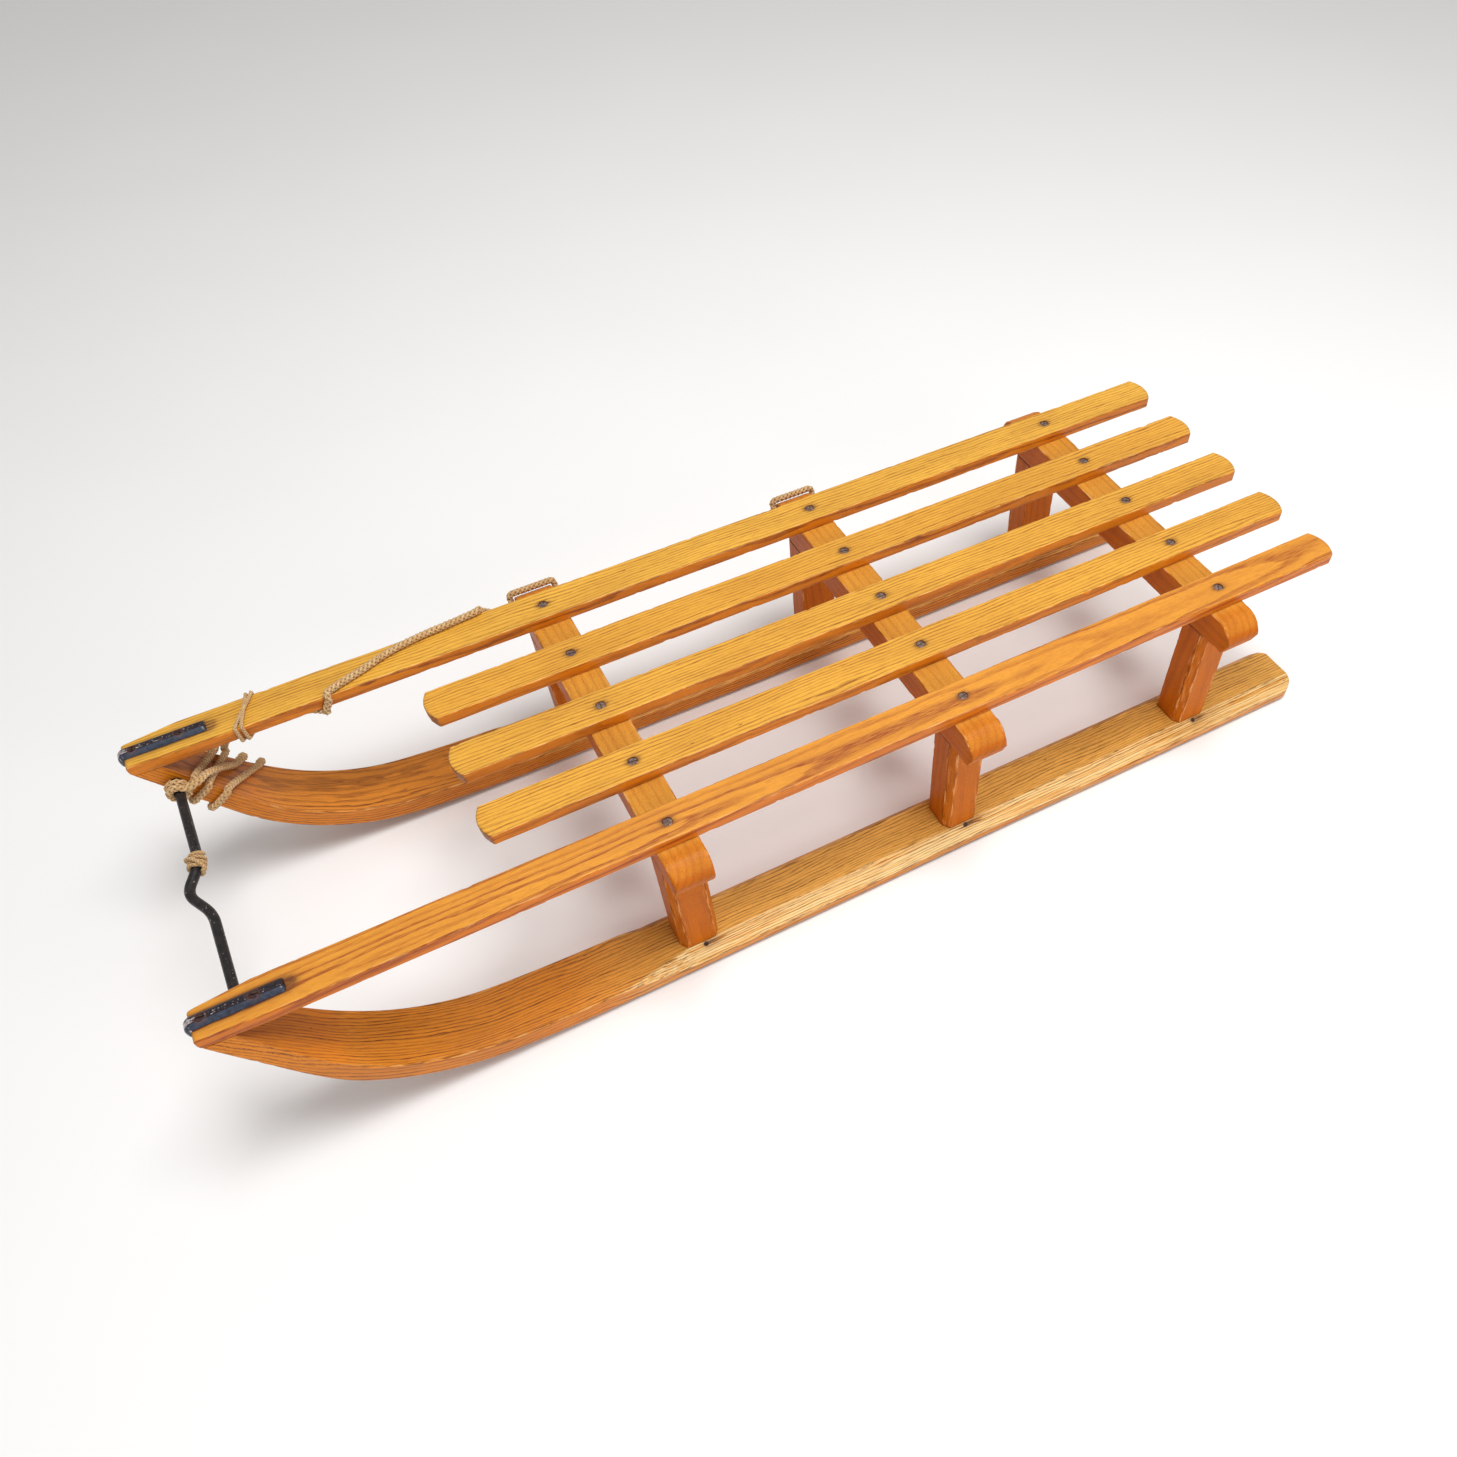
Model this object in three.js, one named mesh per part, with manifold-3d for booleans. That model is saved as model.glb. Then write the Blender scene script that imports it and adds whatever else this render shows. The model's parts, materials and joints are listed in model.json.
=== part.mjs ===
// A slatted wooden runner sled with bent, steel-shod runners, in millimetres.
// +Z is up, -Y is the front with the upturned horns, and +X is the rider's left.
// The origin is on the ground, midway between the ends and midway between the sides.
import * as THREE from "three";
import { mergeVertices } from "three/addons/utils/BufferGeometryUtils.js";
import Module from "manifold-3d";

// Clearance left between pieces that touch along a curved or tilted face, or that fit together.
const GAP = 0.3;

// Seat slats, laid side by side along Y.
const SLAT_WIDTH = 38;
const SLAT_THICKNESS = 12;
const SLAT_PITCH = 77.3;
const SLAT_TOP = 195.5;
const SLAT_REAR = 572;
const SLAT_FRONT = -312;
const SLAT_END_RISE = 6.5; // how far a slat's rounded end stands past its corners
const SLAT_UNDERSIDE = SLAT_TOP - SLAT_THICKNESS;
const OUTER_SLAT_X = 2 * SLAT_PITCH;

// Noses of the two outer slats, which reach forward over the horns.
const NOSE_FRONT = -570;
const NOSE_TAPER_LENGTH = 52;
const NOSE_WIDE_TAPER = 6;
const NOSE_SLIM_TAPER = 1.5;
const NOSE_ROUND = 4; // radius of the top front edge under the steel

// Trestles: a crossbar on two posts, three times.
const TRESTLES = { front: -167, middle: 133, rear: 433 };
const BAR_WIDTH = 40;
const BAR_HALF_LENGTH = 206;
const BAR_UNDERSIDE = 152;
const POST_INNER_X = 142;
const POST_OUTER_X = 176.6;
const POST_CHAMFER_X = 7.5;
const POST_CHAMFER_Y = 5;
const TENON_WIDTH = 24;
const TENON_DEPTH = 26;
const TOP_TENON = 20;
const FOOT_TENON = 14;

// Runners: level at the back, then a slow bend, a tight bend and a straight horn.
const RUNNER_REAR = 574;
const RUNNER_UNDERSIDE = 4;
const RUNNER_THICKNESS = 19.5;
const RUNNER_TOP = RUNNER_UNDERSIDE + RUNNER_THICKNESS;
const RUNNER_INNER_X = 129;
const RUNNER_OUTER_X = 191.5;
const BEND_START = -220;
const SLOW_RADIUS = 1280;
const SLOW_ANGLE = THREE.MathUtils.degToRad(6.4);
const TIGHT_RADIUS = 210;
const HORN_ANGLE = THREE.MathUtils.degToRad(56.3);
const HORN_TAPER_START = -507;
const HORN_TIP = -572;
const HORN_TIP_INNER_X = 136.5;
const HORN_TIP_OUTER_X = 172.5;

// Bevels along the runner's upper edges.
const OUTER_BEVEL_X = 176;
const OUTER_BEVEL_DEPTH = 10.5;
const OUTER_BEVEL_FADE = [-177, -285];
const INNER_BEVEL_X = 134.5;
const INNER_BEVEL_DEPTH = 4;
const INNER_BEVEL_FADE = [-215, -257];

// Steel: half-round bar along each runner's underside, round the nose and back over the slat.
const STEEL_WIDTH = 14;
const STEEL_REAR = 570;
const STEEL_TOP_END = -495;
const STEEL_GAP = 0.25;
const STEEL_HEIGHT = RUNNER_UNDERSIDE - STEEL_GAP;

// Draw iron: a round rod between the horns, kinked forward in the middle.
const ROD_RADIUS = 4.5;
const ROD_RUN = 64; // its place along the horn, from where the horn becomes straight
const ROD_HALF_LENGTH = 158;
const KINK_HALF_WIDTH = 30;
const KINK_REACH = 19;

// Fasteners.
const SLAT_SCREW = { head: 4.4, shank: 2.1, cone: 3, length: 33, recess: 0.6, slot: 0.9 };
const STEEL_SCREW = { head: 3.6, shank: 1.8, cone: 2.2, length: 11, recess: 0.1, slot: 0.7 };
const TOP_STEEL_SCREWS = [-559, -518];
const SHOE_SCREWS = [545, 290, 10, -215];
const NAIL = { head: 2.2, headHeight: 1, shank: 1.1, length: 18 };
const NAIL_X = 179;
const NAIL_OFFSET_Y = 3;

// Stowed tow rope.
const ROPE_RADIUS = 3.1;
const ROPE_GAP = 0.7;
const ROPE_REACH = ROPE_RADIUS + ROPE_GAP; // from a surface to the centre of a rope lying on it
const CORD_RADIUS = 1.6; // of the thin cord knotted round the draw iron's kink
const CORD_GAP = 0.3;

const X_AXIS = new THREE.Vector3(1, 0, 0);
const Y_AXIS = new THREE.Vector3(0, 1, 0);
const Z_AXIS = new THREE.Vector3(0, 0, 1);

const ash = () => new THREE.MeshStandardMaterial({ color: 0xc98a2e, roughness: 0.5, metalness: 0 });
const beech = () => new THREE.MeshStandardMaterial({ color: 0xb8732c, roughness: 0.5, metalness: 0 });
const blackSteel = () => new THREE.MeshStandardMaterial({ color: 0x23262c, roughness: 0.4, metalness: 0.7 });
const rustySteel = () => new THREE.MeshStandardMaterial({ color: 0x5a4034, roughness: 0.7, metalness: 0.5 });
const jute = () => new THREE.MeshStandardMaterial({ color: 0xc49a5e, roughness: 0.95, metalness: 0 });

const wasm = await Module();
wasm.setup();

// A closed geometry as a solid that can be joined and cut.
function solid(geometry) {
  const bare = geometry.clone();
  bare.deleteAttribute("normal");
  bare.deleteAttribute("uv");
  const merged = mergeVertices(bare, 1e-3);
  const mesh = new wasm.Mesh({
    numProp: 3,
    vertProperties: merged.attributes.position.array,
    triVerts: new Uint32Array(merged.index.array),
  });
  return new wasm.Manifold(mesh);
}

function geometryOf(body) {
  const mesh = body.getMesh();
  const geometry = new THREE.BufferGeometry();
  geometry.setAttribute("position", new THREE.BufferAttribute(mesh.vertProperties, mesh.numProp));
  geometry.setIndex(new THREE.BufferAttribute(mesh.triVerts, 1));
  geometry.computeVertexNormals();
  return geometry;
}

function cut(body, cutters) {
  return cutters.reduce((rest, cutter) => rest.subtract(cutter), body);
}

function box(low, high) {
  const size = high.clone().sub(low);
  const geometry = new THREE.BoxGeometry(size.x, size.y, size.z);
  geometry.translate(...low.clone().add(high).multiplyScalar(0.5).toArray());
  return geometry;
}

// An outline drawn in (x, y) and raised from one height to another.
function plate(outline, bottom, top, curveSegments = 8) {
  const geometry = new THREE.ExtrudeGeometry(outline, {
    depth: top - bottom,
    bevelEnabled: false,
    curveSegments,
  });
  return geometry.translate(0, 0, bottom);
}

// An outline drawn in (y, z) and extruded along X.
function sidePlate(outline, from, to) {
  const toSide = new THREE.Matrix4().makeBasis(Y_AXIS, Z_AXIS, X_AXIS);
  return plate(outline, from, to).applyMatrix4(toSide);
}

// An outline drawn in (x, z) and extruded along Y.
function frontPlate(outline, from, to) {
  const toFront = new THREE.Matrix4().makeBasis(X_AXIS, Z_AXIS, Y_AXIS.clone().negate());
  return plate(outline, -to, -from).applyMatrix4(toFront);
}

// A closed skin over rings of points; every ring is convex and turns the same way.
function loft(rings) {
  const count = rings[0].length;
  const indices = [];
  for (let ring = 0; ring + 1 < rings.length; ring++) {
    for (let i = 0; i < count; i++) {
      const a = ring * count + i;
      const b = ring * count + ((i + 1) % count);
      indices.push(a, b, b + count, a, b + count, a + count);
    }
  }
  const last = (rings.length - 1) * count;
  for (let i = 1; i + 1 < count; i++) {
    indices.push(0, i + 1, i, last, last + i, last + i + 1);
  }
  const geometry = new THREE.BufferGeometry().setFromPoints(rings.flat());
  geometry.setIndex(indices);
  geometry.computeVertexNormals();
  return geometry;
}

// A curve that goes straight from point to point, so that a swept section stands at each point.
class Track extends THREE.Curve {
  constructor(points) {
    super();
    this.points = points;
  }

  getPoint(t, target = new THREE.Vector3()) {
    const place = THREE.MathUtils.clamp(t, 0, 1) * (this.points.length - 1);
    const index = Math.min(Math.floor(place), this.points.length - 2);
    return target.lerpVectors(this.points[index], this.points[index + 1], place - index);
  }

  getTangent(t, target = new THREE.Vector3()) {
    const index = Math.round(t * (this.points.length - 1));
    const here = this.points[index];
    const before = this.points[Math.max(index - 1, 0)];
    const after = this.points[Math.min(index + 1, this.points.length - 1)];
    const arriving = here.clone().sub(before).normalize();
    const leaving = after.clone().sub(here).normalize();
    return target.addVectors(arriving, leaving).normalize();
  }

  getUtoTmapping(u) {
    return u;
  }
}

function roundBar(points, radius, sides) {
  const section = new THREE.Shape();
  for (let i = 0; i < sides; i++) {
    const angle = (i * 2 * Math.PI) / sides;
    const corner = [radius * Math.cos(angle), radius * Math.sin(angle)];
    if (i === 0) section.moveTo(...corner);
    else section.lineTo(...corner);
  }
  return new THREE.ExtrudeGeometry(section, {
    steps: points.length - 1,
    extrudePath: new Track(points),
  });
}

// A solid of revolution about Z from [radius, height] pairs that run upwards from axis to axis.
function turned(profile, sides) {
  const points = profile.map(([radius, height]) => new THREE.Vector2(radius, height));
  return new THREE.LatheGeometry(points, sides).rotateX(Math.PI / 2);
}

// A countersunk wood screw whose head's top is at height 0, point down.
function countersunk({ head, shank, cone, length }, grow, above) {
  const sharp = 4;
  return turned(
    [
      [0, -length - grow],
      [shank + grow, sharp - length],
      [shank + grow, -cone - 0.5],
      [head + grow, -0.5],
      [head + grow, above],
      [0, above],
    ],
    10,
  );
}

function screwGeometry(size) {
  const slotDepth = 1;
  const slot = box(
    new THREE.Vector3(-2 * size.head, -size.slot / 2, -slotDepth),
    new THREE.Vector3(2 * size.head, size.slot / 2, slotDepth),
  );
  return geometryOf(solid(countersunk(size, 0, 0)).subtract(solid(slot)));
}

// The hole a screw leaves, at the screw's place and turn.
function screwHole(size, position, flip = 0) {
  const geometry = countersunk(size, GAP, 5).rotateY(flip);
  return solid(geometry.translate(position.x, position.y, position.z));
}

// The runner's side view at a height above its underside, from the rear to the level of the slats.
// Each station holds y, z and the slope of the runner there.
function runnerStations(lift) {
  const stations = [{ y: RUNNER_REAR, z: RUNNER_UNDERSIDE + lift, slope: 0 }];
  const bend = (centerY, centerZ, radius, from, to, steps) => {
    for (let i = 0; i <= steps; i++) {
      const slope = from + ((to - from) * i) / steps;
      const y = centerY - (radius - lift) * Math.sin(slope);
      const z = centerZ - (radius - lift) * Math.cos(slope);
      stations.push({ y, z, slope });
    }
  };
  const slowZ = RUNNER_UNDERSIDE + SLOW_RADIUS;
  const shrink = SLOW_RADIUS - TIGHT_RADIUS;
  const tightY = BEND_START - shrink * Math.sin(SLOW_ANGLE);
  const tightZ = slowZ - shrink * Math.cos(SLOW_ANGLE);
  bend(BEND_START, slowZ, SLOW_RADIUS, 0, SLOW_ANGLE, 3);
  stations.pop();
  bend(tightY, tightZ, TIGHT_RADIUS, SLOW_ANGLE, HORN_ANGLE, 14);
  const { y, z } = stations.at(-1);
  const rise = SLAT_UNDERSIDE - z;
  stations.push({ y: y - rise / Math.tan(HORN_ANGLE), z: SLAT_UNDERSIDE, slope: HORN_ANGLE });
  return stations;
}

// A point on the left runner: run is the distance along the horn from where it becomes straight,
// up the horn when positive; lift is the height above the underside.
function onHorn(run, x, lift) {
  const turn = HORN_ANGLE + Math.min(run, 0) / TIGHT_RADIUS;
  const along = Math.max(run, 0);
  const shrink = SLOW_RADIUS - TIGHT_RADIUS;
  const centerY = BEND_START - shrink * Math.sin(SLOW_ANGLE);
  const centerZ = RUNNER_UNDERSIDE + SLOW_RADIUS - shrink * Math.cos(SLOW_ANGLE);
  const y = centerY - (TIGHT_RADIUS - lift) * Math.sin(turn) - along * Math.cos(turn);
  const z = centerZ - (TIGHT_RADIUS - lift) * Math.cos(turn) + along * Math.sin(turn);
  return new THREE.Vector3(x, y, z);
}

// The axis the draw iron turns about, halfway through the horn's thickness.
const ROD_AXIS = onHorn(ROD_RUN, 0, RUNNER_THICKNESS / 2);

// Seen from above: one slat with rounded ends, centred on x = 0.
function slatPlan(front) {
  const half = SLAT_WIDTH / 2;
  const radius = (half * half + SLAT_END_RISE * SLAT_END_RISE) / (2 * SLAT_END_RISE);
  const spread = Math.asin(half / radius);
  const plan = new THREE.Shape();
  const rearCenter = SLAT_REAR - radius;
  plan.absarc(0, rearCenter, radius, Math.PI / 2 - spread, Math.PI / 2 + spread, false);
  if (front === undefined) return plan;
  plan.absarc(0, front + radius, radius, 1.5 * Math.PI - spread, 1.5 * Math.PI + spread, false);
  return plan;
}

// An outer slat tapers to a nearly square nose; inward and outward say how much each edge gives.
function outerSlatPlan(inward, outward) {
  const half = SLAT_WIDTH / 2;
  const corner = 2;
  const taperStart = NOSE_FRONT + NOSE_TAPER_LENGTH;
  const plan = slatPlan();
  plan.lineTo(-half, taperStart);
  plan.lineTo(-half + inward, NOSE_FRONT + corner);
  plan.lineTo(-half + inward + corner, NOSE_FRONT);
  plan.lineTo(half - outward - corner, NOSE_FRONT);
  plan.lineTo(half - outward, NOSE_FRONT + corner);
  plan.lineTo(half, taperStart);
  return plan;
}

// Side view of an outer slat's nose: undercut on the line of the horn, rounded over on top.
function noseSide() {
  const tip = runnerStations(0).at(-1);
  const center = { y: NOSE_FRONT + NOSE_ROUND, z: SLAT_TOP - NOSE_ROUND };
  const side = new THREE.Shape();
  side.moveTo(SLAT_REAR + 1, SLAT_UNDERSIDE - 1);
  side.lineTo(tip.y + 1 / Math.tan(HORN_ANGLE), SLAT_UNDERSIDE - 1);
  side.lineTo(NOSE_FRONT, SLAT_UNDERSIDE + (tip.y - NOSE_FRONT) * Math.tan(HORN_ANGLE));
  side.absarc(center.y, center.z, NOSE_ROUND, Math.PI, Math.PI / 2, true);
  side.lineTo(SLAT_REAR + 1, SLAT_TOP);
  return side;
}

function slatScrewPlaces(x) {
  const height = SLAT_TOP - SLAT_SCREW.recess;
  return Object.values(TRESTLES).map((y) => new THREE.Vector3(x, y, height));
}

function topSteelScrewPlaces(x) {
  const height = SLAT_TOP + STEEL_GAP + STEEL_HEIGHT - STEEL_SCREW.recess;
  return TOP_STEEL_SCREWS.map((y) => new THREE.Vector3(x, y, height));
}

function shoeScrewPlaces() {
  return SHOE_SCREWS.map((y) => new THREE.Vector3(OUTER_SLAT_X, y, STEEL_SCREW.recess));
}

function innerSlat() {
  const body = solid(plate(slatPlan(SLAT_FRONT), SLAT_UNDERSIDE, SLAT_TOP));
  return geometryOf(cut(body, slatScrewPlaces(0).map((p) => screwHole(SLAT_SCREW, p))));
}

function outerSlat(inward, outward) {
  const plan = solid(plate(outerSlatPlan(inward, outward), SLAT_UNDERSIDE, SLAT_TOP));
  const side = solid(sidePlate(noseSide(), -SLAT_WIDTH, SLAT_WIDTH));
  const holes = slatScrewPlaces(0).map((p) => screwHole(SLAT_SCREW, p));
  holes.push(...topSteelScrewPlaces(0).map((p) => screwHole(STEEL_SCREW, p)));
  return geometryOf(cut(plan.intersect(side), holes));
}

// Front view of a crossbar: flat on top, with drooping, undercut ends.
function crossbarOutline() {
  const outline = new THREE.Shape();
  const end = (side) => {
    const x = side * BAR_HALF_LENGTH;
    const inward = (distance) => x - side * distance;
    return { x, inward };
  };
  const left = end(-1);
  const right = end(1);
  const brow = BAR_UNDERSIDE + 15;
  outline.moveTo(left.inward(6), BAR_UNDERSIDE);
  outline.lineTo(right.inward(6), BAR_UNDERSIDE);
  outline.lineTo(right.x, brow - 2);
  outline.lineTo(right.x, brow);
  const swell = SLAT_UNDERSIDE - 4;
  outline.bezierCurveTo(right.x, brow + 6, right.inward(7), swell, right.inward(17), SLAT_UNDERSIDE);
  outline.lineTo(left.inward(17), SLAT_UNDERSIDE);
  outline.bezierCurveTo(left.inward(7), swell, left.x, brow + 6, left.x, brow);
  outline.lineTo(left.x, brow - 2);
  return outline;
}

// A tenon, or with grow its mortise, centred on a post of the trestle at y.
function tenon(y, bottom, top, grow = 0) {
  const x = (POST_INNER_X + POST_OUTER_X) / 2;
  return solid(
    box(
      new THREE.Vector3(x - TENON_WIDTH / 2 - grow, y - TENON_DEPTH / 2 - grow, bottom),
      new THREE.Vector3(x + TENON_WIDTH / 2 + grow, y + TENON_DEPTH / 2 + grow, top),
    ),
  );
}

function crossbar(y) {
  const bar = solid(frontPlate(crossbarOutline(), y - BAR_WIDTH / 2, y + BAR_WIDTH / 2));
  const height = SLAT_TOP - SLAT_SCREW.recess;
  const mortise = tenon(y, BAR_UNDERSIDE - 1, BAR_UNDERSIDE + TOP_TENON + GAP, GAP);
  const cutters = [mortise, mortise.mirror([1, 0, 0])];
  for (let slat = -2; slat <= 2; slat++) {
    cutters.push(screwHole(SLAT_SCREW, new THREE.Vector3(slat * SLAT_PITCH, y, height)));
  }
  return geometryOf(cut(bar, cutters));
}

// How far the runner's outer bevel is tilted from level.
function bevelPitch() {
  return Math.atan2(OUTER_BEVEL_DEPTH, RUNNER_OUTER_X - OUTER_BEVEL_X);
}

function nailPlace(y) {
  const drop = (NAIL_X - OUTER_BEVEL_X) * Math.tan(bevelPitch());
  return new THREE.Vector3(NAIL_X, y + NAIL_OFFSET_Y, RUNNER_TOP - drop);
}

// The nail that pins a post's foot, square to the runner's outer bevel; with grow, its hole.
function nail(grow, above) {
  return turned(
    [
      [0, -NAIL.length - grow],
      [NAIL.shank + grow, 2 - NAIL.length],
      [NAIL.shank + grow, -NAIL.headHeight - grow],
      [NAIL.head + grow, -NAIL.headHeight - grow],
      [NAIL.head + grow, above],
      [0, above],
    ],
    10,
  );
}

function nailHole(y) {
  const place = nailPlace(y);
  return solid(nail(GAP, 5).rotateY(bevelPitch()).translate(place.x, place.y, place.z));
}

function postPlan(y) {
  const front = y - BAR_WIDTH / 2;
  const rear = y + BAR_WIDTH / 2;
  const plan = new THREE.Shape();
  plan.moveTo(POST_INNER_X, front);
  plan.lineTo(POST_OUTER_X - POST_CHAMFER_X, front);
  plan.lineTo(POST_OUTER_X, front + POST_CHAMFER_Y);
  plan.lineTo(POST_OUTER_X, rear - POST_CHAMFER_Y);
  plan.lineTo(POST_OUTER_X - POST_CHAMFER_X, rear);
  plan.lineTo(POST_INNER_X, rear);
  return plan;
}

function post(y) {
  const shaft = solid(plate(postPlan(y), RUNNER_TOP, BAR_UNDERSIDE));
  const top = tenon(y, BAR_UNDERSIDE - 1, BAR_UNDERSIDE + TOP_TENON);
  const foot = tenon(y, RUNNER_TOP - FOOT_TENON, RUNNER_TOP + 1);
  const screw = new THREE.Vector3(OUTER_SLAT_X, y, SLAT_TOP - SLAT_SCREW.recess);
  return geometryOf(cut(shaft.add(top).add(foot), [screwHole(SLAT_SCREW, screw), nailHole(y)]));
}

// Seen from above: the left runner, rounded at the rear and tapered along the horn.
function runnerPlan() {
  const plan = new THREE.Shape();
  plan.moveTo(RUNNER_OUTER_X, HORN_TAPER_START);
  plan.lineTo(RUNNER_OUTER_X, RUNNER_REAR - 16);
  plan.quadraticCurveTo(RUNNER_OUTER_X, RUNNER_REAR - 2, RUNNER_OUTER_X - 10, RUNNER_REAR);
  plan.lineTo(RUNNER_INNER_X + 12, RUNNER_REAR);
  plan.quadraticCurveTo(RUNNER_INNER_X + 2, RUNNER_REAR - 2, RUNNER_INNER_X, RUNNER_REAR - 24);
  plan.lineTo(RUNNER_INNER_X, HORN_TAPER_START);
  plan.lineTo(HORN_TIP_INNER_X, HORN_TIP);
  plan.lineTo(HORN_TIP_OUTER_X, HORN_TIP);
  return plan;
}

function runnerSide() {
  const under = runnerStations(0);
  const over = runnerStations(RUNNER_THICKNESS).reverse();
  return new THREE.Shape([...under, ...over].map(({ y, z }) => new THREE.Vector2(y, z)));
}

// A wedge that planes a bevel off one upper edge of the runner and fades out towards the front.
function bevelCutter(edgeX, sideX, depth, [fadeFrom, fadeTo]) {
  const outward = Math.sign(sideX - edgeX);
  const beyond = sideX + outward;
  const section = (y, lift) => {
    const top = RUNNER_TOP + lift;
    const ring = [
      new THREE.Vector3(edgeX, y, top),
      new THREE.Vector3(edgeX, y, top + 5),
      new THREE.Vector3(beyond, y, top + 5),
      new THREE.Vector3(beyond, y, top - (depth * (beyond - edgeX)) / (sideX - edgeX)),
    ];
    return outward > 0 ? ring.reverse() : ring;
  };
  return solid(loft([section(RUNNER_REAR + 5, 0), section(fadeFrom, 0), section(fadeTo, depth + 3)]));
}

function rodHole() {
  const hole = new THREE.CylinderGeometry(ROD_RADIUS + 0.2, ROD_RADIUS + 0.2, 60, 16);
  hole.rotateZ(Math.PI / 2).translate(ROD_HALF_LENGTH + 0.5 - 30, ROD_AXIS.y, ROD_AXIS.z);
  return solid(hole);
}

function runner() {
  const blank = solid(sidePlate(runnerSide(), RUNNER_INNER_X, RUNNER_OUTER_X));
  const plan = solid(plate(runnerPlan(), 0, SLAT_TOP));
  const cutters = [
    bevelCutter(OUTER_BEVEL_X, RUNNER_OUTER_X, OUTER_BEVEL_DEPTH, OUTER_BEVEL_FADE),
    bevelCutter(INNER_BEVEL_X, RUNNER_INNER_X, INNER_BEVEL_DEPTH, INNER_BEVEL_FADE),
    rodHole(),
    screwHole(STEEL_SCREW, topSteelScrewPlaces(OUTER_SLAT_X)[0]),
  ];
  for (const y of Object.values(TRESTLES)) {
    cutters.push(tenon(y, RUNNER_TOP - FOOT_TENON - GAP, RUNNER_TOP + 1, GAP), nailHole(y));
  }
  cutters.push(...shoeScrewPlaces().map((p) => screwHole(STEEL_SCREW, p, Math.PI)));
  return geometryOf(cut(blank.intersect(plan), cutters));
}

// The line the steel's flat back follows, from the rear of the shoe to its end on top of the slat.
function steelPath() {
  const path = runnerStations(-STEEL_GAP).map(({ y, z, slope }) => ({
    y,
    z,
    ny: -Math.sin(slope),
    nz: -Math.cos(slope),
  }));
  path[0].y = STEEL_REAR;
  const face = NOSE_FRONT - STEEL_GAP;
  const horn = path.at(-1);
  const turn = (Math.PI / 2 + HORN_ANGLE) / 2;
  const miter = 1 / Math.cos((Math.PI / 2 - HORN_ANGLE) / 2);
  horn.z += (horn.y - face) * Math.tan(HORN_ANGLE);
  horn.y = face;
  horn.ny = -Math.sin(turn) * miter;
  horn.nz = -Math.cos(turn) * miter;
  const radius = NOSE_ROUND + STEEL_GAP;
  const steps = 5;
  for (let i = 0; i <= steps; i++) {
    const angle = Math.PI - (i * Math.PI) / (2 * steps);
    const ny = Math.cos(angle);
    const nz = Math.sin(angle);
    const y = NOSE_FRONT + NOSE_ROUND + radius * ny;
    const z = SLAT_TOP - NOSE_ROUND + radius * nz;
    path.push({ y, z, ny, nz });
  }
  path.push({ y: STEEL_TOP_END, z: SLAT_TOP + STEEL_GAP, ny: 0, nz: 1 });
  return path;
}

// Half-round section with a narrow worn flat on its crown, as [across, height] shares.
const STEEL_SECTION = [
  [-1, 0],
  [-1, 0.3],
  [-0.72, 0.78],
  [-0.25, 1],
  [0.25, 1],
  [0.72, 0.78],
  [1, 0.3],
  [1, 0],
];

function runnerSteel() {
  const rings = steelPath().map(({ y, z, ny, nz }) =>
    STEEL_SECTION.map(([across, height]) => {
      const x = OUTER_SLAT_X + (across * STEEL_WIDTH) / 2;
      const out = height * STEEL_HEIGHT;
      return new THREE.Vector3(x, y + ny * out, z + nz * out);
    }),
  );
  const holes = topSteelScrewPlaces(OUTER_SLAT_X).map((p) => screwHole(STEEL_SCREW, p));
  holes.push(...shoeScrewPlaces().map((p) => screwHole(STEEL_SCREW, p, Math.PI)));
  return geometryOf(cut(solid(loft(rings)), holes));
}

// Points of a quadratic corner, without its ends' neighbours.
function softCorner(before, corner, after, steps) {
  return new THREE.QuadraticBezierCurve3(before, corner, after).getPoints(steps);
}

// Centre line of the draw iron about its turning axis, from the right-hand end to the left.
function rodLine() {
  const at = (x, forward) => new THREE.Vector3(x, ROD_AXIS.y - forward, ROD_AXIS.z);
  const peak = at(0, KINK_REACH);
  const foot = (side) => at(side * KINK_HALF_WIDTH, 0);
  const along = (from, to, distance) => from.clone().lerp(to, distance / from.distanceTo(to));
  const bend = 11;
  return [
    at(-ROD_HALF_LENGTH, 0),
    ...softCorner(at(-KINK_HALF_WIDTH - bend, 0), foot(-1), along(foot(-1), peak, bend), 5),
    ...softCorner(along(peak, foot(-1), bend), peak, along(peak, foot(1), bend), 5),
    ...softCorner(along(foot(1), peak, bend), foot(1), at(KINK_HALF_WIDTH + bend, 0), 5),
    at(ROD_HALF_LENGTH, 0),
  ];
}

// Turns of cord lashed round the rod where the kink begins.
function bowKnotLine() {
  const turns = 4;
  const perTurn = 10;
  const pitch = 2 * CORD_RADIUS + 1;
  const rod = new Track(rodLine());
  const path = new THREE.CatmullRomCurve3(rod.points, false, "centripetal");
  const length = path.getLength();
  const startX = -KINK_HALF_WIDTH - 0.62 * turns * pitch;
  const start = (startX + ROD_HALF_LENGTH) / length;
  const radius = ROD_RADIUS + CORD_GAP + CORD_RADIUS;
  const points = [];
  for (let i = 0; i <= turns * perTurn; i++) {
    const share = start + (i * pitch) / perTurn / length;
    const center = path.getPointAt(share);
    const along = path.getTangentAt(share);
    const side = new THREE.Vector3().crossVectors(Z_AXIS, along).normalize();
    const angle = (i * 2 * Math.PI) / perTurn;
    center.addScaledVector(side, radius * Math.cos(angle));
    center.addScaledVector(Z_AXIS, radius * Math.sin(angle));
    points.push(center);
  }
  return points;
}

// Rope laid round one edge of a piece: the arc's centre is the edge, seen in the plane of u and v.
function roundEdge(place, from, to) {
  const steps = 3;
  const points = [];
  for (let i = 0; i <= steps; i++) {
    const angle = THREE.MathUtils.degToRad(from + ((to - from) * i) / steps);
    points.push(place(ROPE_REACH * Math.cos(angle), ROPE_REACH * Math.sin(angle), i / steps));
  }
  return points;
}

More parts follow.
